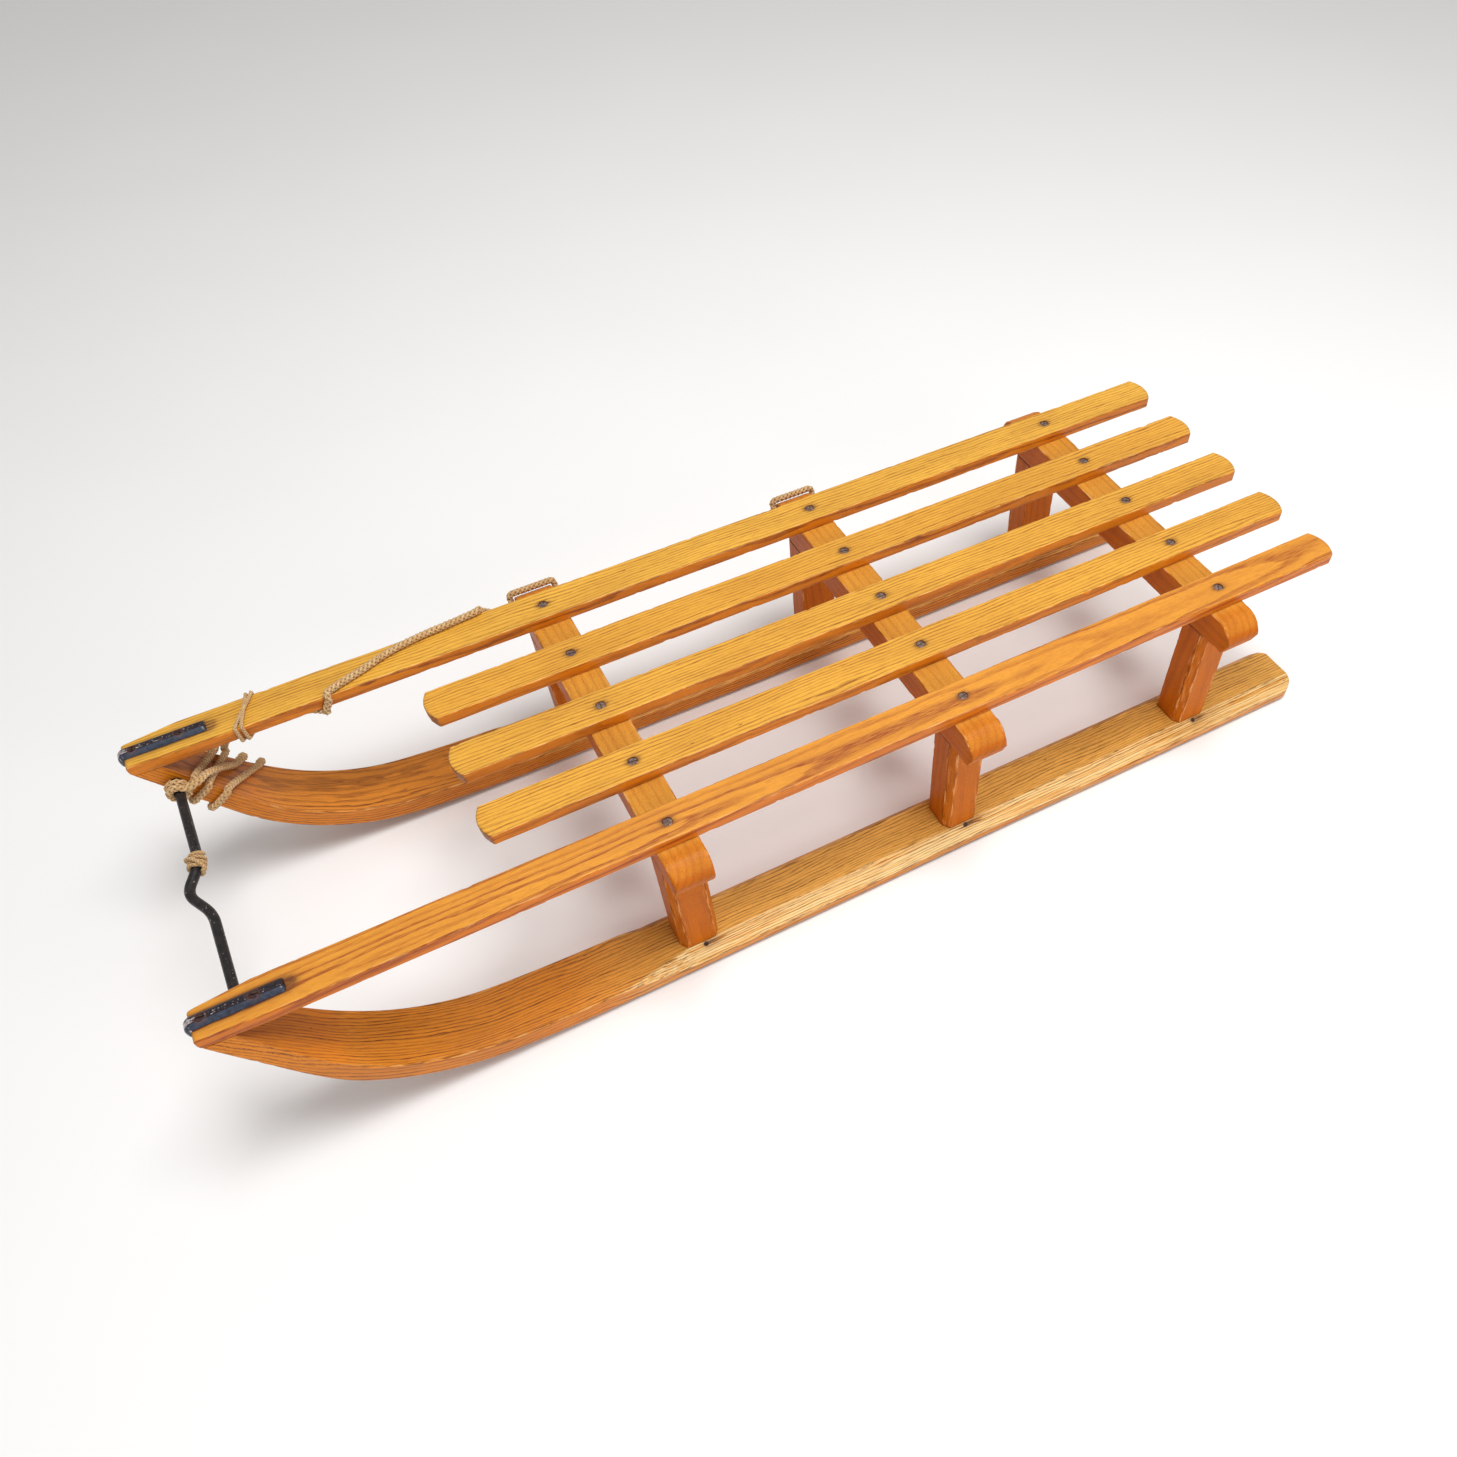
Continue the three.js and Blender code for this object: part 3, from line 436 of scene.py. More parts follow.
def varnished_wood(name, ring, tones, contrast=0.95, flecks=0.3, dash=0.07, scuffs=0.45, gloss=0.3):
    """Varnished wood in the tones pale, line, deep and worn, paler on faces that look up and deeper orange on
    sides
    and undersides: partly sun-bleached tops, partly painted light. Attribute grain holds millimetres across,
    through and along the grain from the tree's centre; mask holds edge wear, stain (on the runners also
    painted shade under the outer slat) and warmth (board tone, and painted shade on the crossbars' noses and
    the runners' front bend); bevel holds how far a planed bevel is painted pale, partly wood worn pale and
    partly painted highlight."""
    s = Shader(name)
    pale, line, deep, worn = tones
    grain = s.attribute("grain")
    wear, stain, warmth = s.split(s.attribute("mask"))
    rubbed_and_highlit = s.split(s.attribute("bevel"))[0]
    lines = s.product(growth_lines(s, grain, ring, dash), contrast)
    specks = s.step(s.noise(s.scaled(grain, 3.0, 3.0, dash * 2)), 0.56, 0.66, 0.0, flecks)
    fibre = s.noise(s.scaled(grain, 1.1, 1.1, 0.025), detail=3)
    patch = s.noise(s.scaled(grain, 0.03, 0.03, 0.008), detail=3)

    # Paler on faces that look up, deeper orange on sides and undersides: partly sun-bleached tops, partly
    # painted light.
    upward = s.split(s.node("ShaderNodeNewGeometry", "Normal"))[2]
    orange = s.math("MAXIMUM", s.step(upward, 0.97, 0.55), warmth)
    base = s.mix(orange, pale, deep)
    shade = s.mix(0.5, base, line)
    base = s.mix(s.step(patch, 0.35, 0.7, 0.0, 0.4), base, shade)
    base = s.mix(s.step(fibre, 0.35, 0.7, 0.0, 0.35), base, shade)
    dark = s.mix(orange, line, s.mix(0.5, line, deep, "MULTIPLY"))
    body = s.mix(lines, base, dark)
    body = s.mix(specks, body, dark)
    cream = s.mix(lines, worn, dark)
    # Pale streaks on the bevel: partly wood worn pale, partly painted highlight streaks.
    streaky = s.step(s.noise(s.scaled(grain, 0.9, 0.9, 0.01), detail=3), 0.4, 0.54)
    body = s.mix(s.product(rubbed_and_highlit, streaky), body, cream)

    blotches = s.noise(s.scaled(grain, 0.5, 0.5, 0.05), detail=4, roughness=0.65)
    scuff = s.product(wear, s.step(blotches, 0.52, 0.6))
    body = s.mix(s.product(scuff, scuffs), body, worn)
    grime = s.product(wear, s.step(blotches, 0.49, 0.4, 0.0, 0.75))
    body = s.mix(grime, body, color(84, 42, 16))
    # Darkening from the stain channel: real stains, and on the runners painted shade under the outer slat.
    stain_and_shade_tint = s.product(stain, s.step(blotches, 0.3, 0.6, 0.35, 1.0))
    body = s.mix(stain_and_shade_tint, body, color(88, 44, 26))
    pinholes = s.step(s.cells(s.scaled(grain, 0.06, 0.06, 0.012)), 0.035, 0.02, 0.0, 0.85)
    body = s.mix(pinholes, body, color(70, 36, 16))

    rough = s.sum(s.step(blotches, 0.3, 0.7, 0.36, 0.52), s.product(scuff, 0.25))
    height = s.math("SUBTRACT", s.product(fibre, 0.35), s.product(lines, 0.7))
    height = s.math("SUBTRACT", height, s.product(specks, 0.5))
    s.bump(height, 0.15 * MM)
    s.set(Base_Color=body, Roughness=rough, Specular_IOR_Level=gloss)
    s.set(Coat_Weight=0.2 * gloss, Coat_Roughness=0.3)
    return s.material


ASH_TONES = (color(236, 178, 66), color(128, 60, 8), color(218, 126, 18), color(244, 206, 142))
FIGURED_TONES = (color(230, 164, 60), color(150, 66, 22), color(216, 120, 16), color(244, 206, 142))
RUNNER_TONES = (color(240, 178, 82), color(98, 44, 8), color(224, 132, 24), color(246, 214, 150))
BEECH_TONES = (color(218, 150, 56), color(136, 66, 22), color(206, 108, 4), color(240, 196, 136))
ASH = varnished_wood("worn_ash", 3.6, ASH_TONES)
FIGURED_ASH = varnished_wood("figured_ash", 7.0, FIGURED_TONES, 1.0, 0.4, 0.04)
RUNNER_ASH = varnished_wood("bent_ash", 2.7, RUNNER_TONES, 1.0, scuffs=0.3)
BEECH = varnished_wood("worn_beech", 7.0, BEECH_TONES, 0.35, 0.6, 0.3, 0.6, 0.12)


def black_paint():
    """Black enamel, chipped along the crown and rusty round the screws, with a painted bluish-grey sky
    reflection on faces that look towards +X.
    Attribute mask holds crown, screw distance and end wear."""
    s = Shader("chipped_black_enamel")
    crown, rusty, worn = s.split(s.attribute("mask"))
    place = s.node("ShaderNodeTexCoord", "Object")
    coarse = s.noise(place, 260, 4, 0.65)
    fine = s.noise(place, 900, 3, 0.6)
    chips = s.sum(s.product(crown, 0.34), s.noise(place, 340, 4, 0.6))
    chips = s.sum(chips, s.product(worn, 0.4))
    chipped = s.step(chips, 0.88, 0.93)
    bare = s.mix(s.step(fine, 0.35, 0.65), color(236, 226, 226), color(140, 120, 120))
    # Painted reflection: faces that look towards +X get a bluish-grey tint for the sky they would reflect.
    sideways = s.split(s.node("ShaderNodeNewGeometry", "Normal"))[0]
    dark = s.mix(s.step(coarse, 0.3, 0.7), color(20, 14, 20), color(38, 28, 36))
    painted_sky_reflection = s.mix(s.step(coarse, 0.3, 0.7), color(38, 44, 58), color(58, 66, 84))
    paint = s.mix(s.step(sideways, 0.12, 0.34), dark, painted_sky_reflection)
    rust_spots = s.product(rusty, s.step(fine, 0.25, 0.6))
    rust_spots = s.math("MAXIMUM", rust_spots, s.product(crown, s.step(coarse, 0.6, 0.72)))
    surface = s.mix(rust_spots, paint, color(104, 58, 40))
    surface = s.mix(chipped, surface, bare)
    rough = s.step(fine, 0.3, 0.7, 0.24, 0.42)
    rough = s.sum(rough, s.product(rust_spots, 0.35))
    s.bump(s.math("SUBTRACT", s.product(coarse, 0.6), chipped), 0.18 * MM)
    s.set(Base_Color=surface, Roughness=rough, Metallic=s.product(chipped, 0.7))
    s.set(Specular_IOR_Level=0.5)
    return s.material


def rod_black():
    """Black iron rod, faintly hammered, rubbed brown on its high spots."""
    s = Shader("black_iron")
    place = s.node("ShaderNodeTexCoord", "Object")
    coarse = s.noise(place, 120, 4, 0.6)
    fine = s.noise(place, 800, 3, 0.6)
    specks = s.step(s.noise(place, 420, 2, 0.5), 0.66, 0.72)
    base = s.mix(s.step(coarse, 0.35, 0.7), color(30, 27, 28), color(52, 45, 44))
    base = s.mix(s.product(specks, 0.7), base, color(168, 160, 156))
    s.bump(s.sum(coarse, s.product(fine, 0.3)), 0.25 * MM)
    s.set(Base_Color=base, Metallic=0.35, Roughness=s.step(fine, 0.3, 0.7, 0.3, 0.5))
    return s.material


def tarnished_steel(name, clean, dirty):
    s = Shader(name)
    place = s.node("ShaderNodeTexCoord", "Object")
    coarse = s.noise(place, 500, 4, 0.65)
    fine = s.noise(place, 2200, 2, 0.5)
    base = s.mix(s.step(coarse, 0.35, 0.62), clean, dirty)
    s.bump(s.sum(coarse, s.product(fine, 0.4)), 0.12 * MM)
    s.set(Base_Color=base, Metallic=0.55, Roughness=s.step(coarse, 0.3, 0.7, 0.38, 0.7))
    return s.material


def braided_jute():
    """Dry jute. Attribute grain holds millimetres across and along each strand; the first channel of mask
    holds painted shade, darkest in the braid's valleys.
    """
    s = Shader("braided_jute")
    grain = s.attribute("grain")
    fibre = s.noise(s.scaled(grain, 5.0, 5.0, 0.5), detail=3, roughness=0.6)
    tone = s.noise(s.scaled(grain, 0.4, 0.4, 0.05), detail=2)
    base = s.mix(s.step(tone, 0.3, 0.7), color(242, 196, 130), color(252, 222, 168))
    base = s.mix(s.step(fibre, 0.62, 0.38, 0.0, 0.75), base, color(132, 84, 40))
    # Painted shade from the mask: darker brown where strands dip into the braid's valleys and on the core.
    depth = s.split(s.attribute("mask"))[0]
    base = s.mix(s.product(depth, 0.75), base, color(128, 76, 32))
    s.bump(fibre, 0.35 * MM)
    s.set(Base_Color=base, Roughness=0.92, Specular_IOR_Level=0.2, Sheen_Weight=0.25)
    return s.material


STEEL_PAINT = black_paint()
IRON = rod_black()
SCREW_STEEL = tarnished_steel("tarnished_screw", color(156, 134, 124), color(98, 74, 64))
RUSTY_SCREW = tarnished_steel("rusty_screw", color(92, 66, 60), color(52, 34, 34))
JUTE = braided_jute()

# ---------------------------------------------------------------- boards


def edge_inset(stations, start, end, radius):
    """How far a board's skin draws in near its two ends, for softly rounded end edges."""
    distance = np.minimum(stations - start, end - stations)
    return radius - np.sqrt(np.maximum(radius**2 - np.maximum(radius - distance, 0) ** 2, 0))


def stations_between(start, end, spacing, end_radius):
    """Evenly spaced stations, with a few more inside the rounded edge at each end."""
    steps = max(int(round((end - start - 2 * end_radius) / spacing)), 2)
    inner = np.linspace(start + end_radius, end - end_radius, steps + 1)
    ease = end_radius * (1 - np.cos(np.linspace(0, math.pi / 2, 4)[:-1]))
    return np.concatenate([start + ease, inner, (end - ease)[::-1]])


def worn_radii(stations, corners, base, chips, depth):
    """Corner radii (stations, corners) that wander a little, with chips knocked out here and there."""
    radii = np.zeros((len(stations), corners))
    for i in range(corners):
        radii[:, i] = base + wander(stations, 0.04, 0.45 * base, rng.uniform(0, 50))
        for _ in range(chips):
            place = rng.uniform(stations[0], stations[-1])
            reach = rng.uniform(1.5, 6.0) * MM
            size = depth * rng.uniform(0.3, 1.0) ** 2
            radii[:, i] += size * np.clip(1 - ((stations - place) / reach) ** 2, 0, 1)
    return radii


def wear_of(distances, reach):
    """Edge wear of points from their distances to each of the faces round them."""
    nearest = np.sort(np.abs(np.stack(distances, 1)), axis=1)[:, :2]
    return np.clip(1 - nearest.sum(1) / reach, 0, 1)


def screw_stain(across, along, reach, stretch):
    """Stain that spreads from a screw, further along the grain than across it."""
    distance = np.hypot(across, along / stretch)
    return np.exp(-np.maximum(distance - reach, 0) / (1.1 * MM))


def give_grain(piece, across, through, along, pith, tilt):
    """Stores grain in millimetres, for a tree whose centre drifts past the board along its length."""
    grain = [across + pith[0] + tilt[0] * along, through + pith[1] + tilt[1] * along, along]
    attribute(piece, "grain", np.stack(grain, 1) / MM)


def give_mask(piece, *channels):
    """Stores three channels, arrays or single numbers, for the material to read."""
    full = [np.broadcast_to(channel, len(piece.data.vertices)) for channel in channels]
    attribute(piece, "mask", np.stack(full, 1))


def slat_half_width(name, y):
    """Distances from the slat's middle to its two long edges, towards -X and towards +X."""
    left = np.full_like(y, SLAT_HALF)
    right = np.full_like(y, SLAT_HALF)
    if name.endswith("outer"):
        share = np.clip((NOSE_TAPER_START - y) / (NOSE_TAPER_START - SLAT_LOW.y), 0, 1)
        left = left - share * NOSE_WIDE_TAPER
        right = right - share * NOSE_SLIM_TAPER
        corner = np.clip(1 - (y - SLAT_LOW.y) / NOSE_CORNER, 0, 1)
        ease = NOSE_CORNER * (1 - np.sqrt(1 - corner**2))
        left = left - ease
        right = right - ease
    return left, right


def slat_profile(name, y):
    """Heights of a slat's underside and top; an outer slat's nose is undercut and rounded over."""
    bottom = np.full_like(y, SLAT_UNDERSIDE)
    top = np.full_like(y, SLAT_TOP)
    if name.endswith("outer"):
        bottom = bottom + np.maximum(HORN_TIP_Y - y, 0) * math.tan(HORN_ANGLE)
        over = np.clip(1 - (y - SLAT_LOW.y) / NOSE_ROUND, 0, 1)
        top = top - NOSE_ROUND * (1 - np.sqrt(1 - over**2))
    return bottom, top


def slat_board(name, center, front, rear, bows_forward):
    """A slat's board between its square ends, with bowed ends and seats for its screws."""
    y = stations_between(front, rear, 2 * MM, END_EDGE)
    if not bows_forward:
        extra = SLAT_LOW.y + NOSE_ROUND * (1 - np.cos(np.linspace(0.1, 1.5, 8)))
        y = np.unique(np.concatenate([y, extra]))
    inset = edge_inset(y, front, rear, END_EDGE)
    toward_left, toward_right = slat_half_width(name, y)
    bottom, top = slat_profile(name, y)
    seed = rng.uniform(0, 90)
    left = -toward_left + inset + wander(y, 0.11, 0.35 * MM, seed)
    right = toward_right - inset + wander(y, 0.13, 0.35 * MM, seed + 3)
    top = top - inset + wander(y, 0.09, 0.22 * MM, seed + 5) * (y > front + 4 * MM)
    bottom = bottom + inset
    corners = [(left, bottom), (right, bottom), (right, top), (left, top)]
    radii = worn_radii(y, 4, 1.0 * MM, 26, 1.6 * MM)
    radii = np.minimum(radii, (top - bottom)[:, None] * 0.42)
    section = outline(corners, radii, 4, (5, 2, 15, 2))
    across = section[..., 0]
    bow = SLAT_END_RISE * (1 - (across / SLAT_HALF) ** 2)
    near_rear = np.clip(1 - (rear - y) / BULGE_REACH, 0, 1)[:, None] ** 2
    near_front = np.clip(1 - (y - front) / BULGE_REACH, 0, 1)[:, None] ** 2
    shift = bow * near_rear - bow * near_front * bows_forward
    rings = rings_of(across + center, y[:, None] + shift, section[..., 1])
    piece = new_object(name + "_board", new_mesh(name, *skin(rings)))
    cut(piece, [turned(SCREW_SEAT, 32, (center, row, SLAT_TOP)) for row in BAR_Y.values()])
    return piece


def steel_grime(x, y):
    """Grime on an outer slat beside the steel's end and round it."""
    beside = np.exp(-np.maximum(np.abs(x) - STEEL_HALF, 0) / (1.6 * MM)) * (y < STEEL_TOP_END)
    beyond = np.hypot(x / 0.8, np.maximum(y - STEEL_TOP_END, 0))
    past_end = np.exp(-np.maximum(beyond - 8 * MM, 0) / (3 * MM))
    return np.maximum(0.8 * beside, 0.9 * past_end)


def slat(name, pith, tilt, warmth):
    outer = name.endswith("outer")
    center = math.copysign(SLAT_X, middle(name).x) if outer else middle(name).x
    front = low(name).y + (0 if outer else SLAT_END_RISE)
    rear = high(name).y - SLAT_END_RISE
    piece = slat_board(name, center, front, rear, not outer)
    points = coordinates(piece)
    x, y, z = points[:, 0] - center, points[:, 1], points[:, 2]
    toward_left, toward_right = slat_half_width(name, y)
    bottom, top = slat_profile(name, y)
    bow = SLAT_END_RISE * (1 - (x / SLAT_HALF) ** 2)
    ends = [rear + bow - y, y - front + bow * (not outer)]
    wear = wear_of([toward_left + x, toward_right - x, z - bottom, top - z, *ends], 1.7 * MM)
    stain = 0.5 * np.exp(-np.abs(np.stack(ends, 1)).min(1) / (0.7 * MM))
    for row in BAR_Y.values():
        stain = np.maximum(stain, 0.8 * screw_stain(x, y - row, SCREW_HEAD, 1.5))
    if outer:
        stain = np.maximum(stain, steel_grime(x, y))
    give_grain(piece, x, z - SLAT_UNDERSIDE, y, pith, tilt)
    give_mask(piece, wear, stain, warmth)
    finish(piece, [name], FIGURED_ASH if name == "slat_left_outer" else ASH)


BAR_BROW = BAR_LOW.z + 15 * MM
BAR_TOE = 6 * MM
BAR_SHOULDER = 17 * MM


def bezier(a, b, c, d, t):
    return a * (1 - t) ** 3 + 3 * b * t * (1 - t) ** 2 + 3 * c * t**2 * (1 - t) + d * t**3


def crossbar_profile(x):
    """Heights of a crossbar's underside and top at distances x from its middle."""
    x = np.abs(x)
    t = np.linspace(0, 1, 60)
    curve_x = bezier(BAR_HIGH.x - BAR_SHOULDER, BAR_HIGH.x - 7 * MM, BAR_HIGH.x, BAR_HIGH.x, t)
    curve_z = bezier(BAR_HIGH.z, BAR_HIGH.z - 4 * MM, BAR_BROW + 6 * MM, BAR_BROW, t)
    top = np.where(x < curve_x[0], BAR_HIGH.z, np.interp(x, curve_x, curve_z))
    toe = np.maximum(x - (BAR_HIGH.x - BAR_TOE), 0) / BAR_TOE
    bottom = BAR_LOW.z + toe * (BAR_BROW - 2 * MM - BAR_LOW.z)
    return bottom, top


def crossbar(place, pith, tilt):
    y_low, y_high = low(f"crossbar_{place}").y, high(f"crossbar_{place}").y
    ease = BAR_HIGH.x - 20 * MM * (1 - np.sin(np.linspace(0, math.pi / 2, 16)))
    body = np.linspace(-BAR_HIGH.x + 20 * MM, BAR_HIGH.x - 20 * MM, 150)
    x = np.concatenate([-ease[::-1], body[1:-1], ease])
    bottom, top = crossbar_profile(x)
    seed = rng.uniform(0, 90)
    front = y_low + wander(x, 0.08, 0.3 * MM, seed)
    rear = y_high + wander(x, 0.08, 0.3 * MM, seed + 4)
    narrow = 1.5 * MM * np.clip((np.abs(x) - BAR_HIGH.x + 12 * MM) / (12 * MM), 0, 1) ** 2
    front, rear = front + narrow, rear - narrow
    corners = [(front, bottom), (rear, bottom), (rear, top), (front, top)]
    radii = worn_radii(x, 4, 1.3 * MM, 14, 1.8 * MM)
    nose = (np.abs(x) > SLAT_HIGH.x)[:, None]
    radii = radii + nose * np.abs(wander(x, 0.006, 1.6 * MM, seed + 9))[:, None]
    radii = np.minimum(radii, (top - bottom)[:, None] * 0.42)
    section = outline(corners, radii, 4, (6, 5, 6, 5))
    rings = rings_of(x[:, None], section[..., 0], section[..., 1])
    piece = new_object(f"crossbar_{place}_board", new_mesh("crossbar", *skin(rings)))
    x, y, z = coordinates(piece).T
    bottom, top = crossbar_profile(x)
    wear = wear_of([y - y_low, y_high - y, z - bottom, top - z], 2.4 * MM)
    at_nose = np.clip((np.abs(x) - BAR_HIGH.x + 9 * MM) / (9 * MM), 0, 1)
    # Painted shade: the noses beyond the slats are tinted deeper and darker to damp the open light they
    # catch.
    warmth = 0.6 * np.clip((np.abs(x) - SLAT_HIGH.x) / (8 * MM), 0, 1)
    give_grain(piece, y - y_low, z - BAR_LOW.z, x, pith, tilt)
    give_mask(piece, wear, 0.2 * at_nose, warmth)
    finish(piece, [f"crossbar_{place}"], BEECH)


POST_CHAMFER = Vector((7.5 * MM, 5 * MM))


def post(side, place, pith, tilt):
    name = f"post_{side}_{place}"
    sign = SIDES[side]
    front, rear = low(name).y, high(name).y
    inner, outer = POST_LOW.x, POST_HIGH.x
    z = stations_between(RUNNER_TOP, BAR_LOW.z, 2 * MM, 0.4 * MM)
    seed = rng.uniform(0, 90)
    sway = wander(z, 0.05, 0.25 * MM, seed)
    chamfer = POST_CHAMFER.x + wander(z, 0.03, 0.9 * MM, seed + 2)
    flank = POST_CHAMFER.y + wander(z, 0.03, 0.8 * MM, seed + 6)
    full = np.ones_like(z)
    corners = [
        (inner * full, front * full),
        (outer - chamfer, front * full),
        (outer + sway, front + flank),
        (outer + sway, rear - flank),
        (outer - chamfer, rear * full),
        (inner * full, rear * full),
    ]
    radii = worn_radii(z, 6, 0.7 * MM, 5, 1.4 * MM)
    section = outline(corners, radii, 3, (6, 2, 7, 2, 6, 7))
    rings = rings_of(section[..., 0] * sign, section[..., 1], z[:, None])
    piece = new_object(name + "_board", new_mesh(name, *skin(rings)))
    x, y, z = coordinates(piece).T
    x = x * sign
    slope = POST_CHAMFER.x / POST_CHAMFER.y
    level = math.hypot(1, slope)
    to_front = (y - front) * slope + outer - x
    to_rear = (rear - y) * slope + outer - x
    chamfers = [(to_front - POST_CHAMFER.x) / level, (to_rear - POST_CHAMFER.x) / level]
    wear = wear_of([x - inner, outer - x, y - front, rear - y, *chamfers], 2.2 * MM)
    foot = np.exp(-(z - RUNNER_TOP) / (1.5 * MM))
    head = np.exp(-(BAR_LOW.z - z) / (1.5 * MM))
    stain = 0.6 * np.maximum(foot, head)
    give_grain(piece, y - front, x - inner, z, pith, tilt)
    give_mask(piece, wear, stain, 0.3)
    finish(piece, [name], BEECH)


# ---------------------------------------------------------------- runners

OUTER_BEVEL_X = 176 * MM
OUTER_BEVEL_DEPTH = 10.5 * MM
OUTER_BEVEL_FADE = (-177 * MM, -285 * MM)
INNER_BEVEL_X = 134.5 * MM
INNER_BEVEL_DEPTH = 4 * MM
INNER_BEVEL_FADE = (-215 * MM, -257 * MM)
HORN_TAPER_START = -507 * MM
HORN_TAPER_EASE = 50 * MM
HORN_TIP_INNER = 136.5 * MM
HORN_TIP_OUTER = 172.5 * MM
NAIL_X = 179 * MM
NAIL_OFFSET = 3 * MM
NAIL_HEAD = 2.2 * MM
BEVEL_PITCH = math.atan2(OUTER_BEVEL_DEPTH, RUNNER_HIGH.x - OUTER_BEVEL_X)


def runner_edges(y):
    """The left runner's inner and outer X: rounded in plan at the rear, tapered along the horn."""
    past = np.maximum(HORN_TAPER_START + HORN_TAPER_EASE / 2 - y, 0)
    past = np.where(past < HORN_TAPER_EASE, past**2 / (2 * HORN_TAPER_EASE), past - HORN_TAPER_EASE / 2)
    share = past / (HORN_TAPER_START - RUNNER_LOW.y)
    inner = RUNNER_LOW.x + share * (HORN_TIP_INNER - RUNNER_LOW.x)
    outer = RUNNER_HIGH.x + share * (HORN_TIP_OUTER - RUNNER_HIGH.x)
    inner = inner + 12 * MM * np.clip(1 - (RUNNER_HIGH.y - y) / (24 * MM), 0, 1) ** 2.6
    outer = outer - 10 * MM * np.clip(1 - (RUNNER_HIGH.y - y) / (16 * MM), 0, 1) ** 2.6
    return inner, outer


def bevel(y, edge, side_x, full_side_x, depth, fade):
    """Where a bevel starts on the runner's top in X, and how deep it is at the runner's side."""
    lift = (depth + 3 * MM) * np.clip((fade[0] - y) / (fade[0] - fade[1]), 0, 1)
    per_x = depth / abs(full_side_x - edge)
    outward = math.copysign(1, full_side_x - edge)
    reach = outward * (side_x - edge)
    down = np.maximum(reach * per_x - lift, 0.4 * MM)
    start = side_x - outward * np.maximum(reach - lift / per_x, 0.5 * MM)
    return start, down


def bevels(y, inner, outer):
    """Start and depth of the outer bevel, then of the inner one."""
    outer_bevel = bevel(y, OUTER_BEVEL_X, outer, RUNNER_HIGH.x, OUTER_BEVEL_DEPTH, OUTER_BEVEL_FADE)
    inner_bevel = bevel(y, INNER_BEVEL_X, inner, RUNNER_LOW.x, INNER_BEVEL_DEPTH, INNER_BEVEL_FADE)
    return *outer_bevel, *inner_bevel


def nail_place(row):
    """The middle of a nail head's top, set square to the left runner's outer bevel."""
    drop = (NAIL_X - OUTER_BEVEL_X) * math.tan(BEVEL_PITCH)
    return Vector((NAIL_X, row + NAIL_OFFSET, RUNNER_TOP - drop))


def runner_board(side):
    """The bent board: level stations first, then stations that lean into the horn's cut tip."""
    straight = np.arange(0, HORN_START, 2.5 * MM)
    rounded_end = END_EDGE * (1 - np.cos(np.linspace(0, 1.5, 4)))
    straight = np.unique(np.concatenate([rounded_end, straight[1:]]))
    horn_share = np.linspace(0, 1, 45)
    length = np.concatenate([straight, np.full(len(horn_share), HORN_START)])
    share = np.concatenate([np.zeros(len(straight)), horn_share])
    past = length + share * HORN_TIP_RUN
    y = np.array([runner_frame(v)[0] for v in past])
    inner, outer = runner_edges(y)
    seed = rng.uniform(0, 90)
    inner = inner + wander(past, 0.12, 0.5 * MM, seed)
    outer = outer + wander(past, 0.12, 0.5 * MM, seed + 3)
    inset = np.maximum(END_EDGE - past, 0)
    outer_start, outer_drop, inner_start, inner_drop = bevels(y, inner, outer)
    top = THICKNESS - inset + wander(past, 0.1, 0.25 * MM, seed + 8)
    corners = [
        (inner, inset),
        (outer, inset),
        (outer, top - outer_drop),
        (outer_start, top),
        (inner_start, top),
        (inner, top - inner_drop),
    ]
    radii = worn_radii(past, 6, 0.9 * MM, 22, 1.5 * MM)
    radii[:, 2:] *= (0.35, 0.25, 0.4, 0.5)
    short = np.minimum(outer_drop, np.minimum(inner_drop, 1.0 * MM))
    radii[:, 2:] = np.minimum(radii[:, 2:], 0.8 * short[:, None])
    section = outline(corners, radii, 3, (9, 3, 5, 17, 2, 4))
    x, lift = section[..., 0] * SIDES[side], section[..., 1]
    horn_run = HORN_TIP_RUN - lift * math.cos(HORN_ANGLE) / math.sin(HORN_ANGLE)
    lengths = length[:, None] + share[:, None] * horn_run
    rings = np.zeros((*lengths.shape, 3))
    for spot in np.ndindex(lengths.shape):
        rings[spot] = on_runner(lengths[spot], x[spot], lift[spot])
    return new_object(f"runner_{side}_board", new_mesh("runner", *skin(rings)))


def drill_runner(piece, sign):
    """Cuts the nails' seats, a crack in the grain behind each nail, and the draw iron's blind hole."""
    seat_radius = NAIL_HEAD + 0.3 * MM
    bore_radius = ROD_RADIUS + 0.5 * MM
    turn = Matrix.Rotation(BEVEL_PITCH, 3, "Y")
    seat = turned([(seat_radius, -1.2 * MM), (seat_radius, 2 * MM)], 20)
    crack = turned([(math.sin(a) * MM, -math.cos(a) * MM) for a in np.linspace(0.2, 2.94, 9)], 14)
    for (shape, faces), stretch, behind in ((seat, (1, 1, 1), 0), (crack, (1.1, 12, 1.1), 10 * MM)):
        cutters = []
        for row in BAR_Y.values():
            spot = nail_place(row)
            moved = [turn @ Vector(p * stretch) + spot for p in shape]
            cutters.append(([(p.x * sign, p.y + behind, p.z) for p in moved], faces))
        cut(piece, cutters)
    points, faces = turned([(bore_radius, ROD_HIGH.x - 30 * MM), (bore_radius, ROD_HIGH.x)], 24)
    placed = [(p[2] * sign, ROD_AXIS.y + p[0], ROD_AXIS.z + p[1]) for p in points]
    cut(piece, [(placed, faces)])


